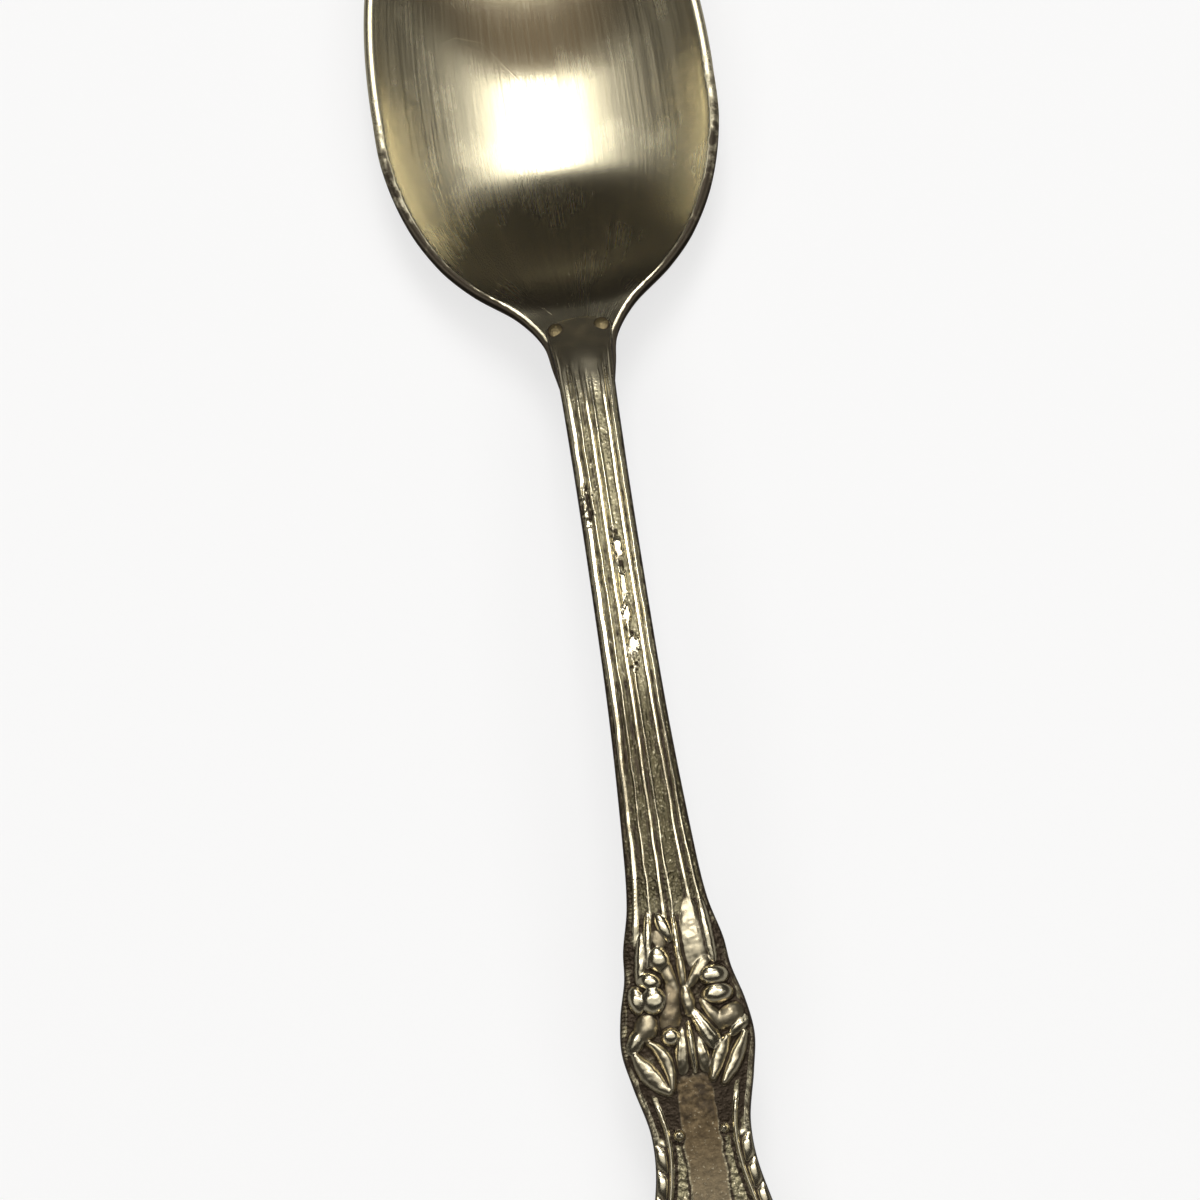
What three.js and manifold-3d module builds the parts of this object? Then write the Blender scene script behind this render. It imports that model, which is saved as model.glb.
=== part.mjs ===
// An ornate teaspoon: a pressed sheet bowl whose tang is lapped under a cast, reeded handle
// and held there by two rivets. Millimetres, +Z up, +Y towards the bowl's tip.
// Stations are counted along Y from the neck: positive in the bowl, negative on the handle.

import * as THREE from 'three';
import { mergeVertices } from 'three/addons/utils/BufferGeometryUtils.js';
import Module from 'manifold-3d';

// Bowl sheet
const BOWL_LENGTH = 55;
const BOWL_WIDTH = 31.8;
const BOWL_WIDEST = 27.5;
const BOWL_DEEPEST = 27.1;
const BOWL_DEPTH = 6.4;
const BOWL_FULLNESS = 0.25;
const TIP_SQUARENESS = 2.25;
const TIP_FALL = 0.8;
const SHEET = 1.2;
const BOWL_WEAR = 0.2;
const HEEL_STATION = 7.6;
const HEEL_BLEND = 0.9;

// Outline of the shoulder, from the tang to the widest station: shares of the length from the
// neck, and of the flare from tang to bowl
const SHOULDER = [
  [-0.11, 0], [0, 0.042], [0.11, 0.088], [0.22, 0.245], [0.33, 0.515], [0.44, 0.71], [0.6, 0.88],
  [0.8, 0.984], [1, 1],
];

// Lap joint at the neck
const TANG_LENGTH = 9;
const TANG_HALF_WIDTH = 2.3;
const LAP_HEIGHT = 9.2;
const LAP_FALL = 0.28;
const LAP_CLEARANCE = 0.1;
const COVER_AT_TANG = 1.6;
const COVER_AT_NECK = 1.75;
const COVER_AT_TIP = 0.4;
const TONGUE_HALF_WIDTH = 2.62;

// Rivets
const RIVET_HALF_SPACING = 2.1;
const RIVET_STATION = 3.5;
const RIVET_SHANK_RADIUS = 0.45;
const RIVET_HEAD_RADIUS = 0.72;
const RIVET_HEAD_SINK = 0.2;
const RIVET_DOME = 0.14;
const RIVET_TAIL_SINK = 0.35;
const RIVET_TAIL_DOME = 0.12;
const RIVET_DOME_SHOULDER = [0.7, 0.6];
const RIVET_CLEARANCE = 0.1;
const RIVET_EDGE = 0.2;
const RIVET_TIP_EDGE = 0.6;

// Handle
const HANDLE_LENGTH = 97;
const THICKEST = -0.29;
const END_LENGTH = 9.5;
const END_HALF_WIDTH = 8.4;
const END_SQUARENESS = 2.2;
const END_THICKNESS = 2.4;
const END_WEAR = 0.1;
const CREST_THICKNESS = 3;
const ORNAMENT_THICKNESS = 2.5;
const WAIST_THICKNESS = 2.3;
const CROWN = 0.5;
const THINNEST_EDGE = 0.2;
const EDGE_THICKNESS = 1.1;
const EDGE_ROUND = 0.16;
const BACK_ROUND = 2.2;
const SQUARE_RUN = 12;

// Heights of the top in side view, by share of the handle's length
const TOP_HEIGHTS = [[-0.8, 7.6], [-0.62, 13], [-0.465, 16.7], [-0.34, 17.1], [-0.205, 15.9]];

// Half widths of the stem, ornament and waist, by station
const STEM_WIDTHS = [
  [-73.5, 4.74], [-69, 4.39], [-64.5, 5.35], [-61.5, 5.86], [-58.5, 5.5], [-55.5, 4.7], [-53, 4.4],
  [-49.5, 3.55], [-45, 3.12], [-33, 2.58], [-20, 2.42], [-8, 2.44],
];

// Reeds on the stem: three pairs of threads, one broad and one thin. Each has its place and half
// width as shares of the half width, its rise, and the station where it starts.
const REEDS = [
  { place: -0.75, wide: 0.13, rise: 0.26, start: 2.4 },
  { place: -0.45, wide: 0.1, rise: 0.22, start: 1 },
  { place: -0.115, wide: 0.1, rise: 0.25, start: 0.2 },
  { place: 0.1, wide: 0.08, rise: 0.2, start: -0.6 },
  { place: 0.54, wide: 0.1, rise: 0.25, start: 1.2 },
  { place: 0.78, wide: 0.08, rise: 0.22, start: 2.4 },
];
const REED_FADE = 4.5;
const REED_END = -51;
const REED_TAIL = 2.6;

// Ornament: petals, buds and leaf tips as domes. Each has its place across and along from the
// ornament's station, its turn in degrees from the handle's end, half length, half width and rise.
const ORNAMENT_STATION = -60;
const ORNAMENT_DOMES = [
  { name: 'lower petal, left', at: [-0.6, -2.2], turn: -8, long: 1.9, wide: 0.62, rise: 0.6 },
  { name: 'lower petal, right', at: [1.05, -2.5], turn: 8, long: 1.6, wide: 0.62, rise: 0.55 },
  { name: 'vein', at: [0.25, -1.9], turn: 0, long: 2.3, wide: 0.4, rise: 0.8 },
  { name: 'left petal', at: [-1.1, 1.9], turn: -12, long: 3, wide: 0.95, rise: 0.5 },
  { name: 'left petal tip', at: [-1.4, -0.85], turn: -5, long: 0.85, wide: 0.8, rise: 1 },
  { name: 'right petal', at: [1.7, -0.5], turn: 27, long: 2.4, wide: 0.75, rise: 0.8 },
  { name: 'right petal, upper', at: [2.4, 0.6], turn: 30, long: 1.6, wide: 0.55, rise: 0.6 },
  { name: 'flower eye', at: [0.5, 2], turn: 5, long: 1.5, wide: 0.6, rise: 0.65 },
  { name: 'upper sepal, right', at: [1.75, 4.4], turn: 138, long: 1.7, wide: 0.5, rise: 0.5 },
  { name: 'upper sepal, middle', at: [0.35, 4.6], turn: 180, long: 1.8, wide: 0.4, rise: 0.55 },
  { name: 'upper sepal, left', at: [-0.8, 4.4], turn: -160, long: 2, wide: 0.55, rise: 0.45 },
  { name: 'bud, right upper', at: [3, 3.8], turn: 84, long: 1.4, wide: 1, rise: 1.1 },
  { name: 'bud, right lower', at: [3.15, 2.3], turn: 92, long: 1.45, wide: 0.9, rise: 1 },
  { name: 'bud, left upper', at: [-2.6, 4.1], turn: 65, long: 1.05, wide: 0.75, rise: 0.95 },
  { name: 'bud, left outer', at: [-3.75, 2.8], turn: 12, long: 1.3, wide: 0.75, rise: 0.9 },
  { name: 'bud, left inner', at: [-2.45, 2.5], turn: -12, long: 1.3, wide: 1.15, rise: 1.1 },
  { name: 'curl, left', at: [-3.35, 0.3], turn: -25, long: 1.45, wide: 1, rise: 0.75 },
  { name: 'curl, right', at: [3.95, 0.35], turn: 115, long: 1.4, wide: 1, rise: 0.8 },
  { name: 'petal, right lower', at: [4.75, -0.6], turn: 130, long: 1.3, wide: 0.65, rise: 0.65 },
  { name: 'petal, left lower', at: [-4.45, -0.8], turn: -35, long: 1.3, wide: 0.7, rise: 0.6 },
  { name: 'leaf, right', at: [1.85, 7.5], turn: 0, long: 3.3, wide: 1.25, rise: 0.55 },
  { name: 'leaf, left', at: [-1.5, 5.8], turn: 8, long: 1.3, wide: 1, rise: 0.85 },
  { name: 'leaf, left inner', at: [-0.6, 8.4], turn: 20, long: 1.4, wide: 0.6, rise: 0.55 },
  { name: 'leaf lobe, left', at: [-1.25, 7.4], turn: 0, long: 1, wide: 0.7, rise: 0.4 },
  { name: 'leaf edge, right', at: [3.1, 7.6], turn: 4, long: 3.2, wide: 0.5, rise: 0.55 },
  { name: 'leaf streak, left', at: [-2.2, 7.2], turn: -8, long: 2.8, wide: 0.42, rise: 0.55 },
  { name: 'leaf edge, left', at: [-3, 5.9], turn: -10, long: 2.8, wide: 0.5, rise: 0.55 },
  { name: 'midrib', at: [0.3, 6.9], turn: 0, long: 2.8, wide: 0.3, rise: 0.55 },
  { name: 'bead, left', at: [-1.95, -9.2], turn: 0, long: 0.5, wide: 0.5, rise: 0.6 },
  { name: 'bead, right', at: [2.05, -9.1], turn: 0, long: 0.4, wide: 0.4, rise: 0.4 },
];

// Scroll leaves under the flower: start, pull and end of each curve, from the ornament's station
const SCROLL_POINTS = 16;
const SCROLLS = [
  { curve: [[-3.3, -1.1], [-1.6, -2.2], [-1.95, -5.2]], radius: 0.55, rise: 0.65 },
  { curve: [[-4.7, -2], [-3.9, -3.8], [-2.3, -5.4]], radius: 0.75, rise: 0.6 },
  { curve: [[3.4, -1.5], [2.4, -3], [1.7, -4.7]], radius: 0.65, rise: 0.65 },
  { curve: [[5, -1.3], [4, -3.4], [2.6, -5.2]], radius: 0.6, rise: 0.65 },
];

// Border and panel of the handle's end
const BORDER_START = -65;
const BORDER_FADE = 3;
const FILLET_INSET = 1.4;
const FILLET_RADIUS = 0.36;
const FILLET_RISE = 0.38;
const LOBE_START = -69;
const LOBE_FADE = 1.5;
const LOBE_PITCH = 2.25;
const LOBE_PHASE = 0.17;
const LOBE_SLANT = 0.8;
const LOBE_RISE = 0.5;
const EDGE_BAND_START = -54;
const EDGE_BAND_WIDTH = 0.7;
const EDGE_BAND_RISE = 0.3;
const PANEL_TOP = -64.6;
const PANEL_HALF_WIDTH = 1.5;
const PANEL_ARCH = 1.4;
const ARCH_SQUARENESS = 2;
const PANEL_RECESS = 0.32;
const PANEL_STEP = 0.3;

// Facets
const BOWL_FACETS = 16;
const LIP_FACETS = 3;
const TANG_STEP = 3;
const HEEL_STEP = 0.9;
const HEEL_END = 13;
const BOWL_STEP = 2.4;
const TIP_STATIONS = 14;
const TOP_FACETS = 32;
const BACK_FACETS = 6;
const RIVET_FACETS = 16;
const TONGUE_STATIONS = 8;
const LAP_STATIONS = 4;
const STEM_STEP = 3;
const ORNAMENT_STEP = 0.4;
const BORDER_STEP = 0.72;
const END_STATIONS = 10;
const STEP_FACE = 0.05;
const END_CUT = 0.985;
const SLOPE_STEP = 0.01;

// Sizes that follow from those above
const HALF_SHEET = SHEET / 2;
const NECK_Y = (HANDLE_LENGTH - BOWL_LENGTH) / 2;
const TONGUE_LENGTH = RIVET_STATION + RIVET_HEAD_RADIUS + RIVET_TIP_EDGE;
const TONGUE_WIDEST = RIVET_HALF_SPACING + RIVET_HEAD_RADIUS + RIVET_EDGE;
const LAP_STRETCH = Math.hypot(1, LAP_FALL);
const FLOOR_HEIGHT = HALF_SHEET - BOWL_WEAR;
const RIM_HEIGHT = FLOOR_HEIGHT + BOWL_DEPTH;
const BOWL_HALF_WIDTH = BOWL_WIDTH / 2 - HALF_SHEET;
const TIP_STATION = BOWL_LENGTH - HALF_SHEET;
const TIP_LENGTH = TIP_STATION - BOWL_WIDEST;
const END_START = END_LENGTH - HANDLE_LENGTH;
const HOLE_REACH = 2 * SHEET;

// Curves

function smoothstep(from, to, value) {
  return THREE.MathUtils.smoothstep(value, from, to);
}

// A smooth curve through [place, value] knots in rising order, with slopes averaged at the knots
function knotCurve(knots) {
  const slopes = knots.map((knot, i) => {
    const before = knots[Math.max(i - 1, 0)];
    const after = knots[Math.min(i + 1, knots.length - 1)];
    return (after[1] - before[1]) / (after[0] - before[0]);
  });
  return (place) => {
    const found = knots.findIndex((knot) => knot[0] >= place);
    const i = found < 0 ? knots.length - 1 : Math.max(found, 1);
    const [start, end] = [knots[i - 1], knots[i]];
    const run = end[0] - start[0];
    const s = THREE.MathUtils.clamp((place - start[0]) / run, 0, 1);
    const rise = end[1] - start[1];
    const bend = (slopes[i - 1] * run - rise) * (1 - s) - (slopes[i] * run - rise) * s;
    return start[1] + rise * s + s * (1 - s) * bend;
  };
}

// Half width of a rounded end: a superellipse that closes at its full length
function roundedEnd(halfWidth, share, squareness) {
  const inside = 1 - Math.min(Math.abs(share), 1) ** squareness;
  return halfWidth * inside ** (1 / squareness);
}

// A dome of height 1 that falls to 0 where the distance reaches 1
function dome(distance) {
  return Math.max(0, 1 - distance * distance);
}

// The lesser of two heights, with the corner between them rounded
function softMinimum(first, second, blend) {
  const share = Math.max(blend - Math.abs(first - second), 0) / blend;
  return Math.min(first, second) - (share * share * blend) / 4;
}

// Stations between two places in about equal steps, without the last
function stationsBetween(from, to, step) {
  const count = Math.max(1, Math.round((from - to) / step));
  return Array.from({ length: count }, (_, i) => THREE.MathUtils.lerp(from, to, i / count));
}

// Closed solid from rings of points, with a fan over each end. Each quad is split along its
// shorter diagonal, which follows ridges that run aslant.
function loftSolid(rings, startPoint, endPoint) {
  const sides = rings[0].length;
  const points = [startPoint, ...rings.flat(), endPoint];
  const last = points.length - 1;
  const faces = [];
  for (let j = 0; j < sides; j += 1) {
    const next = (j + 1) % sides;
    faces.push([0, 1 + next, 1 + j]);
    for (let i = 0; i + 1 < rings.length; i += 1) {
      const [a, b] = [1 + i * sides + j, 1 + i * sides + next];
      const [d, c] = [a + sides, b + sides];
      const straight = points[a].distanceTo(points[c]) <= points[b].distanceTo(points[d]);
      faces.push(...(straight ? [[a, b, c], [a, c, d]] : [[a, b, d], [b, c, d]]));
    }
    faces.push([last, last - sides + j, last - sides + next]);
  }
  const geometry = new THREE.BufferGeometry().setFromPoints(points);
  geometry.setIndex(faces.flat());
  return geometry;
}

// Bowl: the middle of the sheet, its outline, and the lap plane of its tang

const shoulderShare = knotCurve(SHOULDER);

function lapLine(station) {
  return LAP_HEIGHT - LAP_FALL * station;
}

// Height of the sheet's top face under the handle
function lapTop(station) {
  return lapLine(station) + HALF_SHEET * LAP_STRETCH;
}

// Half width of the sheet's middle at a station
function bowlHalfWidth(station) {
  if (station > BOWL_WIDEST) {
    return roundedEnd(BOWL_HALF_WIDTH, (station - BOWL_WIDEST) / TIP_LENGTH, TIP_SQUARENESS);
  }
  const tang = TANG_HALF_WIDTH - HALF_SHEET;
  return tang + (BOWL_HALF_WIDTH - tang) * shoulderShare(station / BOWL_WIDEST);
}

// Height of the rim line: the lap plane, then an easy curve to the widest station and the tip
function rimLine(station) {
  const tipSlope = -TIP_FALL / (BOWL_LENGTH - BOWL_WIDEST);
  if (station <= TONGUE_LENGTH) {
    return lapLine(station);
  }
  if (station >= BOWL_WIDEST) {
    return RIM_HEIGHT + tipSlope * (station - BOWL_WIDEST);
  }
  const run = BOWL_WIDEST - TONGUE_LENGTH;
  const s = (station - TONGUE_LENGTH) / run;
  const rise = RIM_HEIGHT - lapLine(TONGUE_LENGTH);
  const bend = (-LAP_FALL * run - rise) * (1 - s) - (tipSlope * run - rise) * s;
  return lapLine(TONGUE_LENGTH) + rise * s + s * (1 - s) * bend;
}

// Height of the bowl's centre line: a parabola about the deepest station, opened evenly so that it
// meets the lap plane at the heel and the rim at the tip, with the corner at the heel rounded
function floorLine(station) {
  const toHeel = BOWL_DEEPEST - HEEL_STATION;
  const toTip = TIP_STATION - BOWL_DEEPEST;
  const atHeel = (lapLine(HEEL_STATION) - FLOOR_HEIGHT) / toHeel ** 2;
  const atTip = (rimLine(TIP_STATION) - FLOOR_HEIGHT) / toTip ** 2;
  const beyond = station - BOWL_DEEPEST;
  const opening = THREE.MathUtils.lerp(atHeel, atTip, (beyond + toHeel) / (toHeel + toTip));
  const parabola = FLOOR_HEIGHT + opening * beyond ** 2;
  return station > BOWL_DEEPEST ? parabola : softMinimum(lapLine(station), parabola, HEEL_BLEND);
}

// Middle of the sheet: the rim less a hollow that is full at the centre line and zero at the rim
function sheetHeight(x, station) {
  const share = Math.max(0, 1 - (x / bowlHalfWidth(station)) ** 2);
  const hollow = share * (1 + BOWL_FULLNESS * (1 - share));
  const rim = rimLine(station);
  return rim - (rim - floorLine(station)) * hollow;
}

// Upward normal of the sheet's middle, from slopes taken towards the bowl's centre
function sheetNormal(x, station) {
  const [dx, ds] = [x > 0 ? -SLOPE_STEP : SLOPE_STEP, station < BOWL_WIDEST ? SLOPE_STEP : -SLOPE_STEP];
  const here = sheetHeight(x, station);
  const slopeX = (sheetHeight(x + dx, station) - here) / dx;
  const slopeY = (sheetHeight(x, station + ds) - here) / ds;
  return new THREE.Vector3(-slopeX, -slopeY, 1).normalize();
}

// A point on a face of the sheet: half the thickness above its middle, or below it
function facePoint(x, station, side) {
  const point = new THREE.Vector3(x, station, sheetHeight(x, station));
  return point.addScaledVector(sheetNormal(x, station), side * HALF_SHEET);
}

// A point on the rounded lip: an arc about the sheet's edge, square to the outline in plan
function lipPoint(side, station, angle) {
  const x = side * bowlHalfWidth(station);
  const behind = bowlHalfWidth(station - SLOPE_STEP);
  const normal = sheetNormal(x, station);
  const out = new THREE.Vector3(side * SLOPE_STEP, behind - Math.abs(x), 0);
  out.addScaledVector(normal, -out.dot(normal)).normalize();
  const point = new THREE.Vector3(x, station, sheetHeight(x, station));
  point.addScaledVector(normal, HALF_SHEET * Math.cos(angle));
  return point.addScaledVector(out, HALF_SHEET * Math.sin(angle));
}

// One section of the bowl: the inner face, a lip, the outer face and the other lip
function bowlSection(station) {
  const half = bowlHalfWidth(station);
  const across = Array.from({ length: BOWL_FACETS + 1 }, (_, j) => half * (1 - (2 * j) / BOWL_FACETS));
  const lip = Array.from({ length: LIP_FACETS }, (_, j) => (Math.PI * (j + 1)) / (LIP_FACETS + 1));
  return [
    ...across.map((x) => facePoint(x, station, 1)),
    ...lip.map((angle) => lipPoint(-1, station, angle)),
    ...across.map((x) => facePoint(-x, station, -1)),
    ...lip.reverse().map((angle) => lipPoint(1, station, angle)),
  ];
}

// The whole bowl, worn flat where it would stand below the table
function bowlGeometry() {
  const stations = [];
  for (let i = 0; i < TIP_STATIONS; i += 1) {
    const angle = (Math.PI / 2) * ((i + 0.5) / TIP_STATIONS);
    stations.push(BOWL_WIDEST + TIP_LENGTH * Math.cos(angle) ** (2 / TIP_SQUARENESS));
  }
  stations.push(
    ...stationsBetween(BOWL_WIDEST, HEEL_END, BOWL_STEP),
    ...stationsBetween(HEEL_END, 0, HEEL_STEP),
    ...stationsBetween(0, -TANG_LENGTH, TANG_STEP),
    -TANG_LENGTH,
  );
  const rings = stations.map(bowlSection);
  rings.flat().forEach((point) => point.setZ(Math.max(point.z, 0)));
  const tip = new THREE.Vector3(0, BOWL_LENGTH, rimLine(BOWL_LENGTH));
  const tangEnd = new THREE.Vector3(0, -TANG_LENGTH, lapLine(-TANG_LENGTH));
  return loftSolid(rings, tip, tangEnd);
}

// Handle: its plan, side line, section and relief

const stemHalfWidth = knotCurve([
  [END_START, END_HALF_WIDTH],
  ...STEM_WIDTHS,
  [0, TONGUE_HALF_WIDTH],
  [RIVET_STATION, TONGUE_WIDEST],
]);
const handleTop = knotCurve([
  [-HANDLE_LENGTH, END_THICKNESS - END_WEAR],
  ...TOP_HEIGHTS.map(([share, height]) => [share * HANDLE_LENGTH, height]),
  [-TANG_LENGTH, lapTop(-TANG_LENGTH) + LAP_CLEARANCE + COVER_AT_TANG],
  [0, lapTop(0) + LAP_CLEARANCE + COVER_AT_NECK],
  [TONGUE_LENGTH, lapTop(TONGUE_LENGTH) + LAP_CLEARANCE + COVER_AT_TIP],
]);
const fullThickness = knotCurve([
  [-HANDLE_LENGTH, END_THICKNESS],
  [LOBE_START, WAIST_THICKNESS],
  [ORNAMENT_STATION, ORNAMENT_THICKNESS],
  [THICKEST * HANDLE_LENGTH, CREST_THICKNESS],
  [-TANG_LENGTH, COVER_AT_TANG + LAP_CLEARANCE + SHEET * LAP_STRETCH],
]);

// Half width of the handle in plan: its stem, or a superellipse at each end
function handleHalfWidth(station) {
  if (station < END_START) {
    return roundedEnd(END_HALF_WIDTH, (END_START - station) / END_LENGTH, END_SQUARENESS);
  }
  if (station > RIVET_STATION) {
    const share = (station - RIVET_STATION) / (TONGUE_LENGTH - RIVET_STATION);
    return roundedEnd(TONGUE_WIDEST, share, TIP_SQUARENESS);
  }
  return stemHalfWidth(station);
}

// Distance in from the outline, and distance along it from the handle's side round to the end
function borderPlace(x, station) {
  if (station >= END_START) {
    return { inset: handleHalfWidth(station) - Math.abs(x), along: -station };
  }
  const beyond = (END_START - station) / END_LENGTH;
  const across = Math.abs(x) / END_HALF_WIDTH;
  const reach = (across ** END_SQUARENESS + beyond ** END_SQUARENESS) ** (1 / END_SQUARENESS);
  const turn = Math.atan2(beyond, across);
  return { inset: (1 - reach) * END_HALF_WIDTH, along: -END_START + turn * END_HALF_WIDTH };
}

// Height of the reeds, which rise from their own starts and fade towards the flower
function reedRelief(x, station) {
  const share = x / handleHalfWidth(station);
  const kept = smoothstep(REED_END - REED_TAIL, REED_END, station);
  const reeds = REEDS.map(({ place, wide, rise, start }) => {
    const begun = 1 - smoothstep(start - REED_FADE, start, station);
    return rise * begun * dome((share - place) / wide);
  });
  return kept * Math.max(...reeds);
}

// Height of one petal: an elliptic dome, turned from the handle's end
function domeRelief(shape, x, along) {
  const turn = THREE.MathUtils.degToRad(shape.turn);
  const [dx, ds] = [x - shape.at[0], along - shape.at[1]];
  const lengthwise = dx * Math.sin(turn) - ds * Math.cos(turn);
  const sideways = dx * Math.cos(turn) + ds * Math.sin(turn);
  return shape.rise * dome(Math.hypot(lengthwise / shape.long, sideways / shape.wide));
}

const scrollLines = SCROLLS.map(({ curve, radius, rise }) => {
  const bend = new THREE.QuadraticBezierCurve(...curve.map((point) => new THREE.Vector2(...point)));
  return { points: bend.getPoints(SCROLL_POINTS), radius, rise };
});

// Height of one scroll: a round ridge along its curve
function scrollRelief({ points, radius, rise }, x, along) {
  const here = new THREE.Vector2(x, along);
  const distance = Math.min(...points.map((point) => point.distanceTo(here)));
  return rise * dome(distance / radius);
}

// Height of the flower: the highest of its petals and scrolls
function ornamentRelief(x, station) {
  const along = station - ORNAMENT_STATION;
  const domes = ORNAMENT_DOMES.map((shape) => domeRelief(shape, x, along));
  const scrolls = scrollLines.map((scroll) => scrollRelief(scroll, x, along));
  return Math.max(0, ...domes, ...scrolls);
}

// Height of the border: a fillet, slanted lobes outside it, and a band along the flower's edge
function borderRelief(x, station) {
  const { inset, along } = borderPlace(x, station);
  const shown = smoothstep(-BORDER_START, -BORDER_START + BORDER_FADE, along);
  const fillet = FILLET_RISE * shown * dome((inset - FILLET_INSET) / FILLET_RADIUS);
  const lobes = smoothstep(-LOBE_START, -LOBE_START + LOBE_FADE, along);
  const phase = (along - LOBE_SLANT * inset) / LOBE_PITCH + LOBE_PHASE;
  const lobeInset = (FILLET_INSET - FILLET_RADIUS) / 2;
  const swell = dome(2 * (phase - Math.floor(phase)) - 1) * dome((inset - lobeInset) / lobeInset);
  const lobe = LOBE_RISE * lobes * swell;
  const banded = smoothstep(-EDGE_BAND_START, -EDGE_BAND_START + BORDER_FADE, along) * (1 - lobes);
  const band = EDGE_BAND_RISE * banded * dome(inset / EDGE_BAND_WIDTH);
  return Math.max(fillet, lobe, band);
}

// The sunk ground beside the plain centre panel, which starts in an arch under the flower
function panelRelief(x, station) {
  const { inset } = borderPlace(x, station);
  const below = PANEL_TOP - station;
  if (below < -PANEL_ARCH || inset < FILLET_INSET) {
    return 0;
  }
  const opened = Math.min(Math.max(below, 0) / PANEL_ARCH, 1);
  const half = roundedEnd(PANEL_HALF_WIDTH, 1 - opened, ARCH_SQUARENESS);
  const beside = smoothstep(half, half + PANEL_STEP, Math.abs(x));
  const depth = beside * smoothstep(FILLET_INSET, FILLET_INSET + PANEL_STEP, inset);
  return -PANEL_RECESS * depth * smoothstep(-PANEL_ARCH, 0, below);
}

// Height of the whole relief over the plain top
function handleRelief(x, station) {
  const raised = Math.max(reedRelief(x, station), ornamentRelief(x, station), borderRelief(x, station));
  return raised > 0 ? raised : panelRelief(x, station);
}

// Fall of the plain top from its middle to its edges, less where the metal is thin
function crownOf(thickness) {
  return Math.min(CROWN, (thickness - THINNEST_EDGE) / 2);
}

// One section of the handle at a station: the relief on top, a round edge, and a plain back
function handleSection(station, lapped) {
  const half = handleHalfWidth(station);
  const flat = half - EDGE_ROUND;
  const top = handleTop(station);
  const underside = lapTop(station) + LAP_CLEARANCE;
  const thickness = lapped ? top - underside : fullThickness(station);
  const crown = crownOf(thickness);
  const edgeTop = top - crown;
  const square = smoothstep(-TANG_LENGTH - SQUARE_RUN, -TANG_LENGTH, station);
  const edge = THREE.MathUtils.lerp(EDGE_THICKNESS, thickness - crown, square);
  const edgeBottom = edgeTop - edge;
  const point = (x, z) => new THREE.Vector3(x, station, Math.max(z, 0));
  const section = [];
  for (let j = 0; j <= TOP_FACETS; j += 1) {
    const u = 1 - (2 * j) / TOP_FACETS;
    section.push(point(u * flat, top - crown * u * u + handleRelief(u * flat, station)));
  }
  section.push(point(-half, (edgeTop + edgeBottom) / 2));
  for (let j = 0; j <= BACK_FACETS; j += 1) {
    const u = (2 * j) / BACK_FACETS - 1;
    const bulge = (edgeBottom - top + thickness) * Math.abs(u) ** BACK_ROUND;
    section.push(point(u * flat, top - thickness + bulge));
  }
  section.push(point(half, (edgeTop + edgeBottom) / 2));
  return section;
}

// The whole handle: sections over the tang, the step behind it, and the free handle
function handleGeometry() {
  const tangEnd = -TANG_LENGTH - LAP_CLEARANCE;
  const rings = [];
  for (let i = 0; i < TONGUE_STATIONS; i += 1) {
    const angle = (Math.PI / 2) * ((i + 0.5) / TONGUE_STATIONS);
    const share = Math.cos(angle) ** (2 / TIP_SQUARENESS);
    rings.push(handleSection(RIVET_STATION + (TONGUE_LENGTH - RIVET_STATION) * share, true));
  }
  for (const station of stationsBetween(RIVET_STATION, tangEnd, TANG_LENGTH / LAP_STATIONS)) {
    rings.push(handleSection(station, true));
  }
  rings.push(handleSection(tangEnd, true));
  const stations = [
    ...stationsBetween(tangEnd - STEP_FACE, REED_END + REED_TAIL, STEM_STEP),
    ...stationsBetween(REED_END + REED_TAIL, LOBE_START, ORNAMENT_STEP),
    ...stationsBetween(LOBE_START, END_START, BORDER_STEP),
  ];
  stations.forEach((station) => rings.push(handleSection(station, false)));
  for (let i = 0; i < END_STATIONS; i += 1) {
    const share = Math.sin((Math.PI / 2) * (i / (END_STATIONS - 1))) * END_CUT;
    rings.push(handleSection(END_START - END_LENGTH * share, false));
  }
  const closing = (ring, station) => {
    const middle = new THREE.Vector3();
    ring.forEach((point) => middle.addScaledVector(point, 1 / ring.length));
    return middle.setY(station);
  };
  const last = rings[rings.length - 1];
  return loftSolid(rings, closing(rings[0], TONGUE_LENGTH), closing(last, -HANDLE_LENGTH));
}

// Rivets: a shank square to the lap, a domed head sunk in the tongue and a flush tail in the sheet

function rivetPlace(side) {
  const axisTilt = Math.atan(LAP_FALL);
  const turn = new THREE.Euler(Math.PI / 2 - axisTilt, 0, 0);
  const place = new THREE.Vector3(side * RIVET_HALF_SPACING, RIVET_STATION, lapTop(RIVET_STATION));
  return { turn, place };
}

// Height of the tongue's top over the lap at the rivets, square to the lap
function coverAtRivet() {
  const edge = RIVET_HALF_SPACING / handleHalfWidth(RIVET_STATION);
  const top = handleTop(RIVET_STATION) - lapTop(RIVET_STATION);
  return (top - crownOf(top - LAP_CLEARANCE) * edge * edge) / LAP_STRETCH;
}

// Lathe profile of a rivet, from its flush tail up to its domed head
function rivetProfile() {
  const cover = coverAtRivet();
  const [across, up] = RIVET_DOME_SHOULDER;
  return [
    [0, -SHEET - RIVET_TAIL_DOME],
    [RIVET_HEAD_RADIUS * across, -SHEET - RIVET_TAIL_DOME * up],
    [RIVET_HEAD_RADIUS, -SHEET],
    [RIVET_SHANK_RADIUS, RIVET_TAIL_SINK - SHEET],
    [RIVET_SHANK_RADIUS, cover - RIVET_HEAD_SINK],
    [RIVET_HEAD_RADIUS, cover - RIVET_HEAD_SINK],
    [RIVET_HEAD_RADIUS, cover],
    [RIVET_HEAD_RADIUS * across, cover + RIVET_DOME * up],
    [0, cover + RIVET_DOME],
  ];
}

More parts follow.
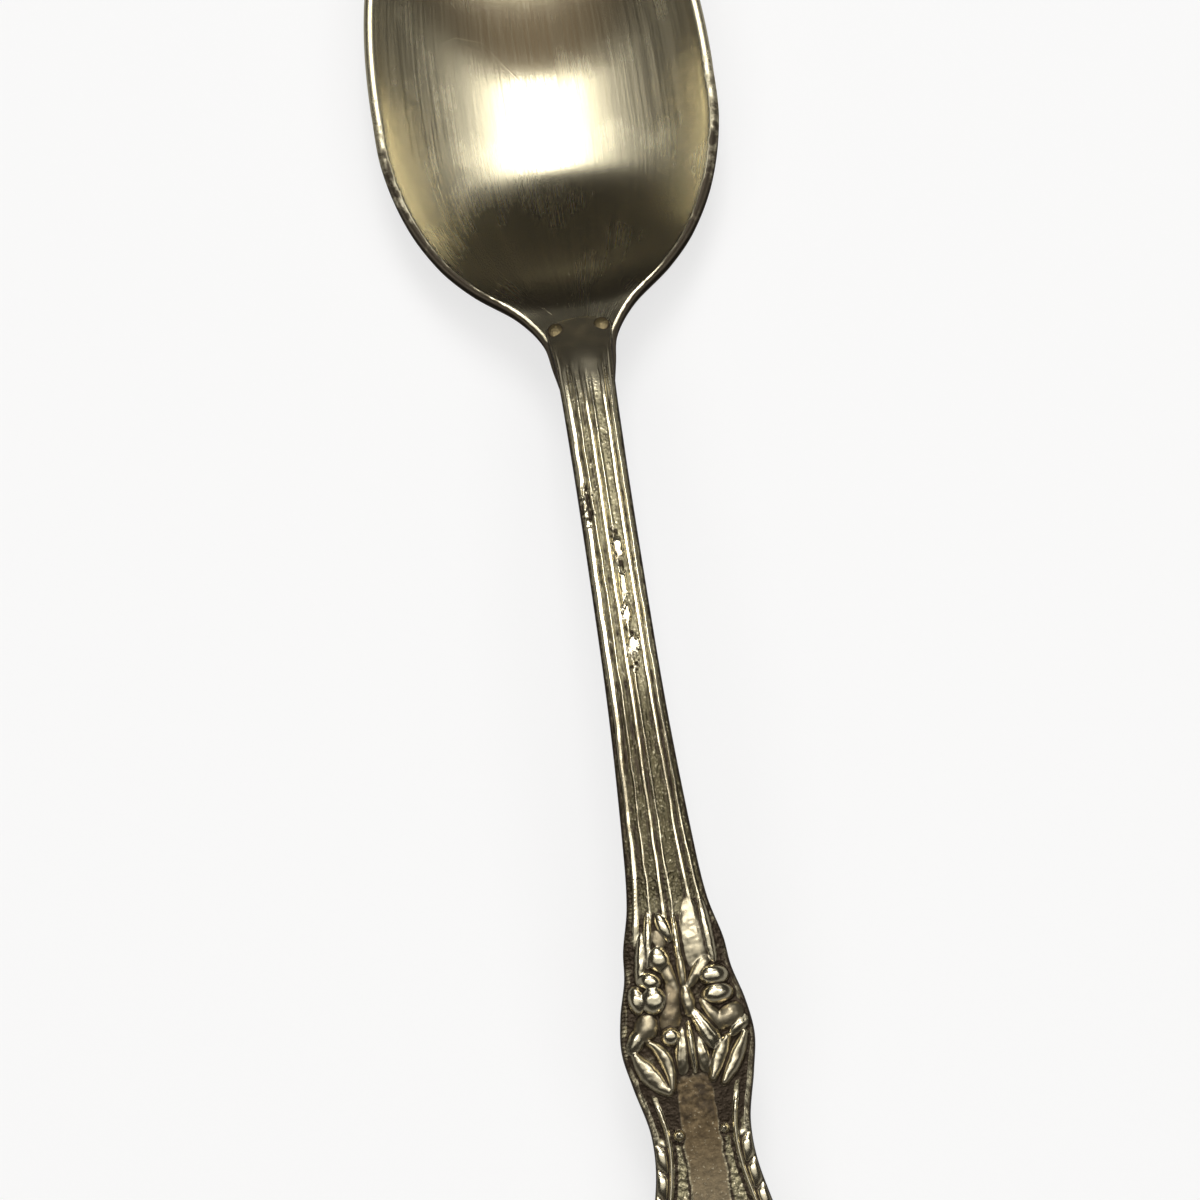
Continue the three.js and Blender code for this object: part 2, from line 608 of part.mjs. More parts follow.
// Lathe profile of the hole that a rivet sits in: countersunk below and counterbored above
function holeProfile() {
  const seat = coverAtRivet() - RIVET_HEAD_SINK - RIVET_CLEARANCE;
  const head = RIVET_HEAD_RADIUS + RIVET_CLEARANCE;
  const shank = RIVET_SHANK_RADIUS + RIVET_CLEARANCE;
  return [
    [0, -HOLE_REACH],
    [head, -HOLE_REACH],
    [head, RIVET_CLEARANCE - SHEET],
    [shank, RIVET_TAIL_SINK + RIVET_CLEARANCE - SHEET],
    [shank, seat],
    [head, seat],
    [head, seat + HOLE_REACH],
    [0, seat + HOLE_REACH],
  ];
}

function latheSolid(profile) {
  return new THREE.LatheGeometry(profile.map((point) => new THREE.Vector2(...point)), RIVET_FACETS);
}

// Cutting

const wasm = await Module();
wasm.setup();

function toManifold(geometry) {
  const bare = geometry.clone();
  bare.deleteAttribute('normal');
  bare.deleteAttribute('uv');
  const merged = mergeVertices(bare);
  const vertProperties = Float32Array.from(merged.getAttribute('position').array);
  const triVerts = Uint32Array.from(merged.getIndex().array);
  return new wasm.Manifold(new wasm.Mesh({ numProp: 3, vertProperties, triVerts }));
}

function fromManifold(manifold) {
  const mesh = manifold.getMesh();
  const geometry = new THREE.BufferGeometry();
  geometry.setAttribute('position', new THREE.BufferAttribute(mesh.vertProperties, 3));
  geometry.setIndex(new THREE.BufferAttribute(mesh.triVerts, 1));
  geometry.computeVertexNormals();
  return geometry;
}

function cutRivetHoles(geometry) {
  let solid = toManifold(geometry);
  for (const side of [-1, 1]) {
    const { turn, place } = rivetPlace(side);
    const hole = latheSolid(holeProfile());
    hole.applyMatrix4(new THREE.Matrix4().makeRotationFromEuler(turn).setPosition(place));
    solid = solid.subtract(toManifold(hole));
  }
  return fromManifold(solid);
}

// Materials and assembly

const polishedBrass = new THREE.MeshStandardMaterial({ color: 0x9b9375, roughness: 0.22, metalness: 1 });
const castBrass = new THREE.MeshStandardMaterial({ color: 0x70674f, roughness: 0.38, metalness: 1 });
const rivetBrass = new THREE.MeshStandardMaterial({ color: 0xac9d75, roughness: 0.3, metalness: 1 });

const spoon = new THREE.Group();
const neck = new THREE.Group();
neck.position.y = NECK_Y;
spoon.add(neck);

const bowl = new THREE.Mesh(cutRivetHoles(bowlGeometry()), polishedBrass);
bowl.name = 'bowl';
neck.add(bowl);

const handle = new THREE.Mesh(cutRivetHoles(handleGeometry()), castBrass);
handle.name = 'handle';
neck.add(handle);

for (const [name, side] of [['rivet_left', -1], ['rivet_right', 1]]) {
  const { turn, place } = rivetPlace(side);
  const rivet = new THREE.Mesh(latheSolid(rivetProfile()), rivetBrass.clone());
  rivet.name = name;
  rivet.setRotationFromEuler(turn);
  rivet.position.copy(place);
  neck.add(rivet);
}

export default spoon;
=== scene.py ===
"""Visual model of an ornate brass teaspoon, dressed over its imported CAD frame.

Shapes are worked out in millimetres at stations along the spoon. A station is the distance from
the neck, positive in the bowl and negative on the handle. Meshes are written in metres, in the
CAD frame.
"""

import logging
import math
from dataclasses import dataclass, field
from enum import Enum

import bpy
import numpy as np
from mathutils import Matrix, Vector


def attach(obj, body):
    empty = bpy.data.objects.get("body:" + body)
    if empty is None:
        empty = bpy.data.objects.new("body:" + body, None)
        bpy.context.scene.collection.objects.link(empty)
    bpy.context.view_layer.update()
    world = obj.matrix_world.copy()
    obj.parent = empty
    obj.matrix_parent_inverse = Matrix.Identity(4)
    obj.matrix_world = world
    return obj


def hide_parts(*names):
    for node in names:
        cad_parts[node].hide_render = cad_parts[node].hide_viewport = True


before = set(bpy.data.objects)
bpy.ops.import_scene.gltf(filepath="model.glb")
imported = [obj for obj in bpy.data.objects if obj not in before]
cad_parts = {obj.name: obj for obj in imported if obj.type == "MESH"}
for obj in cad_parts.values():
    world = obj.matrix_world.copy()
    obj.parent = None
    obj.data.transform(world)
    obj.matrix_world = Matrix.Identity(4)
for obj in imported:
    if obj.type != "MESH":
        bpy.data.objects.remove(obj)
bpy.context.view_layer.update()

LOG = logging.getLogger("teaspoon")
MILLIMETRE = 0.001
BODY = "root"

Array = np.ndarray
Knots = tuple[tuple[float, float], ...]
Colour = tuple[float, float, float]
Spot = tuple[float, float]
Socket = bpy.types.NodeSocket


class Side(Enum):
    """The two sides of the spoon, by the sign of X."""

    LEFT = -1
    RIGHT = 1


class Slot(Enum):
    """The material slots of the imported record."""

    BOWL = "polished_bowl"
    HANDLE = "cast_handle"
    RIVET = "rivet_metal"


class Seed(Enum):
    """Starts of the random draws, one for each effect."""

    RIPPLE = 3
    CRUMBS = 11
    BLOWS = 17
    FINE_BLOWS = 19
    STIPPLE = 23
    PANEL = 29
    REED_STRAY = 31
    REED_RISE = 37


# Curves and shapes

NOISE_CELLS = 97


def smoothstep(low: float, high: float, value: Array) -> Array:
    """Rise from 0 to 1 between two places, level at both ends.

    Args:
        low: Place where the rise starts.
        high: Place where it ends.
        value: Places to work out.

    Returns:
        3 s^2 - 2 s^3 of the share s of the way from low to high.
    """
    share = np.clip((value - low) / (high - low), 0.0, 1.0)
    return share * share * (3.0 - 2.0 * share)


def dome(distance: Array, power: float = 2.0) -> Array:
    """A dome of height 1: 1 - d^power, and 0 past d = 1."""
    return np.maximum(0.0, 1.0 - np.abs(distance) ** power)


def round_dome(distance: Array) -> Array:
    """A round dome of height 1: the root of 1 - d^2, and 0 past d = 1."""
    return np.sqrt(dome(distance))


def rounded_end(half_width: float, share: Array, squareness: float) -> Array:
    """Half width of a rounded end, a superellipse that closes at share 1."""
    inside = 1.0 - np.clip(np.abs(share), 0.0, 1.0) ** squareness
    return half_width * inside ** (1.0 / squareness)


def soft_minimum(first: Array, second: Array, blend: float) -> Array:
    """The lesser of two heights, with the corner between them rounded.

    Args:
        first: One height.
        second: The other height.
        blend: Difference of the heights within which the corner is rounded.

    Returns:
        min(a, b) - h^2 blend / 4, where h is the share of blend left over by |a - b|.
    """
    share = np.maximum(blend - np.abs(first - second), 0.0) / blend
    return np.minimum(first, second) - share * share * blend / 4.0


def value_noise(across: Array, along: Array, seed: Seed) -> Array:
    """Smooth random values from -1 to 1.

    Args:
        across: First coordinate, one cell to each whole number.
        along: Second coordinate, as the first.
        seed: Start of the random draw.

    Returns:
        Values drawn at whole numbers, eased between the four corners of each cell.
    """
    across, along = np.broadcast_arrays(across, along)
    lattice = np.random.default_rng(seed.value).uniform(-1.0, 1.0, (NOISE_CELLS, NOISE_CELLS))
    i, j = np.floor(across).astype(int), np.floor(along).astype(int)
    u, v = smoothstep(0.0, 1.0, across - i), smoothstep(0.0, 1.0, along - j)
    i0, i1, j0, j1 = (cell % NOISE_CELLS for cell in (i, i + 1, j, j + 1))
    near = lattice[i0, j0] * (1.0 - u) + lattice[i1, j0] * u
    far = lattice[i0, j1] * (1.0 - u) + lattice[i1, j1] * u
    return near * (1.0 - v) + far * v


def steps(start: float, end: float, step: float) -> Array:
    """Stations from start towards end in about equal steps, without the end."""
    count = max(1, round(abs(end - start) / step))
    return np.linspace(start, end, count, endpoint=False)


def points(x: Array, y: Array, z: Array) -> Array:
    """Points from coordinates whose shapes broadcast together."""
    return np.stack(np.broadcast_arrays(x, y, z), axis=-1)


def linked(name: str, data: bpy.types.ID) -> bpy.types.Object:
    """A new object for a mesh, lamp or camera, linked to the scene."""
    piece = bpy.data.objects.new(name, data)
    bpy.context.scene.collection.objects.link(piece)
    return piece


@dataclass(frozen=True)
class KnotCurve:
    """A smooth curve through knots of place and value, in rising order."""

    knots: Knots

    def __call__(self, place: Array) -> Array:
        """Values on the curve.

        Args:
            place: Places to work out. Past the ends the curve keeps its end values.

        Returns:
            Cubic pieces whose slope at a knot is that between the knots on both sides of it.
        """
        at, value = np.array(self.knots).T
        before, after = np.r_[0, 0 : len(at) - 1], np.r_[1 : len(at), len(at) - 1]
        slope = (value[after] - value[before]) / (at[after] - at[before])
        place = np.clip(place, at[0], at[-1])
        i = np.clip(np.searchsorted(at, place), 1, len(at) - 1)
        run, rise = at[i] - at[i - 1], value[i] - value[i - 1]
        s = (place - at[i - 1]) / run
        bend = (slope[i - 1] * run - rise) * (1.0 - s) - (slope[i] * run - rise) * s
        return value[i - 1] + rise * s + s * (1.0 - s) * bend


@dataclass
class Loft:
    """A closed skin over rings of points, with a fan of triangles over each end."""

    name: str
    rings: Array
    ends: Array
    uv: Array
    marks: dict[str, Array] = field(default_factory=dict)

    def faces(self) -> tuple[Array, Array]:
        """Corners of the skin's faces.

        Returns:
            Quads between each ring and the next, and the triangles of the two fans.
        """
        count, sides = self.rings.shape[:2]
        here = np.arange(count * sides).reshape(count, sides)
        beside = np.roll(here, -1, axis=1)
        quads = np.stack([here[:-1], beside[:-1], beside[1:], here[1:]], axis=-1).reshape(-1, 4)
        first, last = np.full(sides, count * sides), np.full(sides, count * sides + 1)
        start = np.stack([first, beside[0], here[0]], axis=-1)
        end = np.stack([last, here[-1], beside[-1]], axis=-1)
        return quads, np.concatenate([start, end])

    def with_ends(self, values: Array) -> Array:
        """A value for each vertex: the rings' own, and each fan's middle as its ring's mean."""
        first, last = (values[row].mean(0, keepdims=True) for row in (0, -1))
        return np.concatenate([values.reshape(-1, *values.shape[2:]), first, last])

    def build(self) -> bpy.types.Object:
        """Makes the mesh with its UV map and attributes.

        Returns:
            The object, linked to the scene, with smooth shading.
        """
        points = np.concatenate([self.rings.reshape(-1, 3), self.ends]) * MILLIMETRE
        quads, fans = self.faces()
        mesh = bpy.data.meshes.new(self.name)
        mesh.from_pydata(points, [], quads.tolist() + fans.tolist())
        corners = np.empty(len(mesh.loops), dtype=np.int32)
        mesh.loops.foreach_get("vertex_index", corners)
        layer = mesh.uv_layers.new(name="UVMap")
        layer.data.foreach_set("uv", self.with_ends(self.uv)[corners].astype(np.float32).ravel())
        for mark, values in self.marks.items():
            attribute = mesh.attributes.new(mark, "FLOAT", "POINT")
            attribute.data.foreach_set("value", self.with_ends(values).astype(np.float32))
        mesh.shade_smooth()
        mesh.validate()
        return linked(self.name, mesh)


# Materials

# Sockets of the Mix node when it mixes colours
MIX_SHARE, MIX_FIRST, MIX_SECOND, MIX_COLOUR = 0, 6, 7, 2


@dataclass(frozen=True)
class Cloud:
    """A noise texture, and the two values between which it rises from 0 to 1."""

    scale: float
    detail: float
    roughness: float
    low: float = 0.0
    high: float = 1.0


class Nodes:
    """Adds the nodes of one material, world or node group, and links them."""

    def __init__(self, tree: bpy.types.NodeTree) -> None:
        """Starts on an empty tree."""
        self.tree = tree
        tree.nodes.clear()

    def set(self, target: bpy.types.NodeSocket, value: object) -> None:
        """Links a socket to the target, or sets the target's own value."""
        if isinstance(value, bpy.types.NodeSocket):
            self.tree.links.new(value, target)
        elif target.type == "RGBA":
            target.default_value = (*value, 1.0)
        else:
            target.default_value = value

    def add(
        self, kind: str, inputs: dict[str | int, object] | None = None, **settings: object
    ) -> bpy.types.Node:
        """Adds a node.

        Args:
            kind: The node's type, without its ShaderNode prefix.
            inputs: Values or sockets for its inputs, by name or number.
            settings: Values for the node's own properties.

        Returns:
            The new node.
        """
        node = self.tree.nodes.new("ShaderNode" + kind)
        for name, value in settings.items():
            setattr(node, name, value)
        for key, value in (inputs or {}).items():
            self.set(node.inputs[key], value)
        return node

    def math(self, operation: str, first: object, second: object, clamp: bool = False) -> Socket:
        """The result of an operation on two values or sockets."""
        settings = {"operation": operation, "use_clamp": clamp}
        return self.add("Math", {0: first, 1: second}, **settings).outputs[0]

    def plus(self, first: object, second: object) -> Socket:
        """The sum of two values or sockets."""
        return self.math("ADD", first, second)

    def times(self, first: object, second: object) -> Socket:
        """The product of two values or sockets."""
        return self.math("MULTIPLY", first, second)

    def between(
        self, value: object, low: float, high: float, start: float = 0.0, end: float = 1.0
    ) -> Socket:
        """A value carried smoothly from low..high to start..end."""
        inputs = {"Value": value, "From Min": low, "From Max": high, "To Min": start, "To Max": end}
        return self.add("MapRange", inputs, interpolation_type="SMOOTHSTEP").outputs[0]

    def blend(self, share: object, first: object, second: object) -> Socket:
        """The colour a share of the way from the first to the second."""
        inputs = {MIX_SHARE: share, MIX_FIRST: first, MIX_SECOND: second}
        return self.add("Mix", inputs, data_type="RGBA").outputs[MIX_COLOUR]

    def stretched(self, vector: object, across: float, along: float) -> Socket:
        """Coordinates scaled across and along."""
        return self.add("Mapping", {"Vector": vector, "Scale": (across, along, 1.0)}).outputs[0]

    def noise(self, vector: object, cloud: Cloud, scale: object | None = None) -> Socket:
        """Values of a noise texture, about 0.5, at its own scale or another."""
        inputs = {"Vector": vector, "Scale": cloud.scale if scale is None else scale}
        inputs |= {"Detail": cloud.detail, "Roughness": cloud.roughness}
        return self.add("TexNoise", inputs).outputs["Fac"]

    def clouds(self, vector: object, cloud: Cloud, start: float = 0.0, end: float = 1.0) -> Socket:
        """A noise texture carried from its two values to start..end."""
        return self.between(self.noise(vector, cloud), cloud.low, cloud.high, start, end)

    def mark(self, name: str) -> Socket:
        """One of the piece's own attributes."""
        return self.add("Attribute", attribute_name=name).outputs["Fac"]

    def bump(self, height: Socket, distance: float, normal: Socket | None = None) -> Socket:
        """A normal that follows a height, over another normal where one is given."""
        under = {} if normal is None else {"Normal": normal}
        inputs = {"Height": height, "Distance": distance, "Strength": 1.0}
        return self.add("Bump", inputs | under).outputs[0]

    def surface(self, inputs: dict[str, object]) -> None:
        """Ends a material in a Principled shader with these inputs."""
        shader = self.add("BsdfPrincipled", inputs)
        self.add("OutputMaterial", {"Surface": shader.outputs[0]})


def new_material(name: str) -> tuple[bpy.types.Material, Nodes]:
    """Starts a material, and gives its node helper too."""
    material = bpy.data.materials.new(name)
    material.use_nodes = True
    return material, Nodes(material.node_tree)


def new_group(
    name: str, inputs: dict[str, str], outputs: dict[str, str]
) -> tuple[Nodes, bpy.types.Node, bpy.types.Node]:
    """Starts a shader node group.

    Args:
        name: Name of the group.
        inputs: Socket types of its inputs, by name.
        outputs: Socket types of its outputs, by name.

    Returns:
        Its node helper, its input node and its output node.
    """
    tree = bpy.data.node_groups.new(name, "ShaderNodeTree")
    for sockets, way in ((inputs, "INPUT"), (outputs, "OUTPUT")):
        for label, kind in sockets.items():
            tree.interface.new_socket(label, in_out=way, socket_type="NodeSocket" + kind)
    nodes = Nodes(tree)
    entry = tree.nodes.new("NodeGroupInput")
    leave = tree.nodes.new("NodeGroupOutput")
    return nodes, entry, leave


GRAIN = Cloud(1.0, 2.5, 0.65, 0.52, 0.72)
PEBBLE_EDGE = (0.1, 0.6)
PEBBLE_HEIGHT = 0.6
SHADE_TARNISH_CLOUD = Cloud(900.0, 4.0, 0.6, 0.3, 0.7)
SHADE_TARNISH_SWING = 0.22
SHADE_TARNISH_DEPTH = (0.15, 0.75)


def cast_grain_group() -> bpy.types.NodeTree:
    """The grain of a casting.

    Returns:
        A group that turns object coordinates into a grainy height and sparse bright specks.
    """
    nodes, entry, leave = new_group(
        "cast grain", {"Vector": "Vector", "Scale": "Float"}, {"Height": "Float", "Specks": "Float"}
    )
    vector, scale = entry.outputs["Vector"], entry.outputs["Scale"]
    grain = nodes.noise(vector, GRAIN, scale)
    cells = nodes.add("TexVoronoi", {"Vector": vector, "Scale": scale})
    pebbles = nodes.between(cells.outputs["Distance"], *PEBBLE_EDGE, 1.0, 0.0)
    nodes.set(leave.inputs["Height"], nodes.plus(nodes.times(pebbles, PEBBLE_HEIGHT), grain))
    nodes.set(leave.inputs["Specks"], nodes.between(grain, GRAIN.low, GRAIN.high))
    return nodes.tree


def shade_tarnish_group() -> bpy.types.NodeTree:
    """Painted shade and tarnishing, gathered in recesses.

    Returns:
        A group that breaks up a mark of painted shade and tarnishing with cloudy noise and puts out
        a mask.
    """
    nodes, entry, leave = new_group(
        "tarnish", {"Vector": "Vector", "Recess": "Float", "Cover": "Float"}, {"Mask": "Float"}
    )
    uneven = nodes.clouds(entry.outputs["Vector"], SHADE_TARNISH_CLOUD, -SHADE_TARNISH_SWING, SHADE_TARNISH_SWING)
    depth = nodes.plus(entry.outputs["Recess"], nodes.plus(uneven, entry.outputs["Cover"]))
    nodes.set(leave.inputs["Mask"], nodes.between(depth, *SHADE_TARNISH_DEPTH))
    return nodes.tree


@dataclass(frozen=True)
class Effects:
    """The node groups that several finishes share, and how a material places them."""

    grain: bpy.types.NodeTree
    tarnish: bpy.types.NodeTree

    def cast_grain(self, nodes: Nodes, place: Socket, scale: float) -> bpy.types.Node:
        """Places the grain at a scale of the finish's own."""
        return nodes.add("Group", {"Vector": place, "Scale": scale}, node_tree=self.grain)

    def mask(self, nodes: Nodes, place: Socket, recess: Socket, cover: float = 0.0) -> Socket:
        """Places the painted shade and tarnishing over their mark, and gives its mask."""
        inputs = {"Vector": place, "Recess": recess, "Cover": cover}
        return nodes.add("Group", inputs, node_tree=self.tarnish).outputs["Mask"]


@dataclass(frozen=True)
class PolishedBrass:
    """Pressed sheet, rubbed lengthwise: brush marks, scratches, smudges, and painted shade on the
    near lip.
    """

    name: str = "polished brass sheet"
    clean: Colour = (0.82, 0.745, 0.52)
    rubbed: Colour = (0.6, 0.535, 0.36)
    shade_tarnish_colour: Colour = (0.085, 0.07, 0.05)
    smooth: float = 0.2
    dull: float = 0.27
    smudge_dulling: float = 0.05
    lip_shade_dulling: float = 0.3
    lip_shade_cover: float = -0.05
    rubbing: Cloud = Cloud(1.0, 1.0, 0.6, 0.35, 0.7)
    brush: Spot = (22.0, 0.12)
    brush_depth: float = 0.5e-6
    streak: Spot = (5.0, 0.05)
    streak_rubbed: Spot = (0.35, 0.65)
    streak_dulled: Spot = (0.3, 0.7)
    smudge: Cloud = Cloud(160.0, 3.0, 0.55, 0.5, 0.72)
    scratch: Spot = (0.2, 0.11)
    scratch_width: float = 0.008
    scratch_depth: float = -2.5
    scratched: Cloud = Cloud(130.0, 2.0, 0.5, 0.48, 0.56)
    stretch: float = 0.95
    grain_scale: float = 3000.0
    grain_height: float = 10.0

    def material(self, effects: Effects) -> bpy.types.Material:
        """Builds the material.

        Args:
            effects: The shared node groups.

        Returns:
            A metal whose brush marks follow the UV map, across and along the bowl in millimetres.
        """
        material, nodes = new_material(self.name)
        coordinates = nodes.add("TexCoord")
        sheet, place = coordinates.outputs["UV"], coordinates.outputs["Object"]
        brush, streak = (
            nodes.noise(nodes.stretched(sheet, *size), self.rubbing)
            for size in (self.brush, self.streak)
        )
        cells = nodes.add(
            "TexVoronoi",
            {"Vector": nodes.stretched(sheet, *self.scratch), "Scale": 1.0},
            feature="DISTANCE_TO_EDGE",
        )
        line = nodes.between(cells.outputs["Distance"], 0.0, self.scratch_width, 1.0, 0.0)
        scratch = nodes.times(line, nodes.clouds(place, self.scratched))
        # The edge mark is painted shade on the near lip: it darkens the colour, dulls it and adds
        # grain bumps there
        mask = effects.mask(nodes, place, nodes.mark("edge"), self.lip_shade_cover)
        grain = effects.cast_grain(nodes, place, self.grain_scale).outputs["Height"]
        brushed = nodes.between(brush, self.rubbing.low, self.rubbing.high)
        worn = nodes.times(brushed, nodes.between(streak, *self.streak_rubbed))
        metal = nodes.blend(worn, self.clean, self.rubbed)
        smudge = nodes.times(nodes.clouds(place, self.smudge), self.smudge_dulling)
        streaked = nodes.between(streak, *self.streak_dulled, self.smooth, self.dull)
        rough = nodes.plus(streaked, smudge)
        rough = nodes.math("ADD", rough, nodes.times(mask, self.lip_shade_dulling), clamp=True)
        height = nodes.plus(brush, nodes.times(scratch, self.scratch_depth))
        height = nodes.plus(height, nodes.times(nodes.times(grain, mask), self.grain_height))
        tangent = nodes.add("Tangent", direction_type="UV_MAP", uv_map="UVMap")
        nodes.surface(
            {
                "Base Color": nodes.blend(mask, metal, self.shade_tarnish_colour),
                "Metallic": 1.0,
                "Roughness": rough,
                "Anisotropic": self.stretch,
                "Tangent": tangent.outputs[0],
                "Normal": nodes.bump(height, self.brush_depth),
            }
        )
        return material


@dataclass(frozen=True)
class CastBrass:
    """Cast relief: bright on the high places; dark brown in the recesses and on the flanks, partly
    tarnishing and partly painted shade; grainy on the ground.
    """

    name: str = "cast brass"
    clean: Colour = (0.84, 0.755, 0.53)
    ground: Colour = (0.33, 0.295, 0.18)
    shade_tarnish_colour: Colour = (0.045, 0.031, 0.018)
    brown: Colour = (0.125, 0.09, 0.05)
    tan: Colour = (0.23, 0.17, 0.094)
    # Colour of the painted shade on the lower stem's ground
    olive: Colour = (0.068, 0.064, 0.035)
    olive_grain: Spot = (0.5, 1.05)
    olive_cover: Spot = (0.97, 0.5)
    patina: Cloud = Cloud(2200.0, 4.0, 0.65, 0.3, 0.7)
    glint_specks: Spot = (0.6, 1.0)
    glint_cover: Spot = (1.0, 0.5)
    speck_shine: float = 0.7
    worn_range: Spot = (0.2, 0.8)
    worn_shade_tarnish: float = 0.2
    shade_tarnish_metallic: float = 0.7
    smooth: float = 0.23
    dull: float = 0.48
    grain_scale: float = 3300.0
    grain_depth: float = 5.0e-5
    least_grain: float = 0.03
    ripple: Cloud = Cloud(700.0, 3.0, 0.55)
    ripple_depth: float = 2.0e-5

    def material(self, effects: Effects) -> bpy.types.Material:
        """Builds the material.

        Args:
            effects: The shared node groups.

        Returns:
            A metal that reads the piece's marks: painted shade with tarnishing, worn places, grain,
            the lower stem's painted shade, and panel patina with some painted shade.
        """
        material, nodes = new_material(self.name)
        place = nodes.add("TexCoord").outputs["Object"]
        rough_cast = nodes.mark("grain")
        kept = nodes.between(nodes.mark("worn"), *self.worn_range, 1.0, self.worn_shade_tarnish)
        # The mask is painted shade and tarnishing, kept lighter on worn high places
        mask = nodes.times(effects.mask(nodes, place, nodes.mark("recess")), kept)
        grain = effects.cast_grain(nodes, place, self.grain_scale)
        height, specks = grain.outputs["Height"], grain.outputs["Specks"]
        shine = nodes.times(nodes.times(specks, rough_cast), self.speck_shine)
        dulled = nodes.math("SUBTRACT", rough_cast, shine, clamp=True)
        metal = nodes.blend(dulled, self.clean, self.ground)
        # Painted shade on the lower stem's ground, mottled by the grain
        mottled = nodes.between(height, *self.olive_grain, *self.olive_cover)
        metal = nodes.blend(nodes.times(nodes.mark("olive"), mottled), metal, self.olive)
        glints = nodes.between(specks, *self.glint_specks, *self.glint_cover)
        plain = nodes.times(nodes.mark("panel"), glints)
        patina = nodes.blend(nodes.clouds(place, self.patina), self.brown, self.tan)
        rough = nodes.math("MAXIMUM", nodes.math("MAXIMUM", dulled, mask), plain)
        fine = nodes.times(height, nodes.between(rough_cast, 0.0, 1.0, self.least_grain, 1.0))
        waves = nodes.bump(nodes.noise(place, self.ripple), self.ripple_depth)
        nodes.surface(
            {
                "Base Color": nodes.blend(mask, nodes.blend(plain, metal, patina), self.shade_tarnish_colour),
                "Metallic": nodes.between(mask, 0.0, 1.0, 1.0, self.shade_tarnish_metallic),
                "Roughness": nodes.between(rough, 0.0, 1.0, self.smooth, self.dull),
                "Normal": nodes.bump(fine, self.grain_depth, waves),
            }
        )
        return material


@dataclass(frozen=True)
class RivetBrass:
    """Worn domed heads, darkened about their foot partly by tarnishing and partly as painted shade.
    """

    name: str = "rivet brass"
    clean: Colour = (0.29, 0.23, 0.115)
    dark: Colour = (0.15, 0.118, 0.062)
    shade_tarnish_colour: Colour = (0.07, 0.052, 0.034)
    smooth: float = 0.46
    dull: float = 0.6
    grain_scale: float = 4200.0
    grain_depth: float = 2.0e-5

    def material(self, effects: Effects) -> bpy.types.Material:
        """Builds the material.

        Args:
            effects: The shared node groups.

        Returns:
            A metal that reads the piece's mark of painted shade and tarnishing.
        """
        material, nodes = new_material(self.name)
        place = nodes.add("TexCoord").outputs["Object"]
        # The mask is a ring of painted shade and tarnishing about the head's foot
        mask = effects.mask(nodes, place, nodes.mark("recess"))
        grain = effects.cast_grain(nodes, place, self.grain_scale)
        metal = nodes.blend(grain.outputs["Specks"], self.dark, self.clean)
        nodes.surface(
            {
                "Base Color": nodes.blend(mask, metal, self.shade_tarnish_colour),
                "Metallic": 1.0,
                "Roughness": nodes.between(mask, 0.0, 1.0, self.smooth, self.dull),
                "Normal": nodes.bump(grain.outputs["Height"], self.grain_depth),
            }
        )
        return material


# Pieces


@dataclass(frozen=True)
class Lap:
    """The lap joint at the neck: the plane of the bowl's tang, and the sizes that both share."""

    sheet: float = 1.2
    tang_length: float = 9.0
    height: float = 9.2
    fall: float = 0.28
    clearance: float = 0.1
    rivet_station: float = 3.5
    rivet_half_spacing: float = 2.1
    rivet_head_radius: float = 0.72
    rivet_edge: float = 0.2
    tip_edges: float = 3.0
    handle_length: float = 97.0
    bowl_length: float = 55.0

    @property
    def neck_y(self) -> float:
        """Y of station 0, which puts the spoon's middle at the origin."""
        return (self.handle_length - self.bowl_length) / 2.0

    @property
    def tongue_length(self) -> float:
        """Station of the tongue's tip."""
        return self.rivet_station + self.rivet_head_radius + self.tip_edges * self.rivet_edge

    @property
    def tongue_widest(self) -> float:
        """Half width of the tongue beside the rivets."""
        return self.rivet_half_spacing + self.rivet_head_radius + self.rivet_edge

    @property
    def stretch(self) -> float:
        """Length along the lap for each millimetre of station."""
        return math.hypot(1.0, self.fall)

    def line(self, station: Array) -> Array:
        """Height of the middle of the sheet under the tongue."""
        return self.height - self.fall * station

    def top(self, station: Array) -> Array:
        """Height of the sheet's top face under the tongue."""
        return self.line(station) + self.sheet / 2.0 * self.stretch


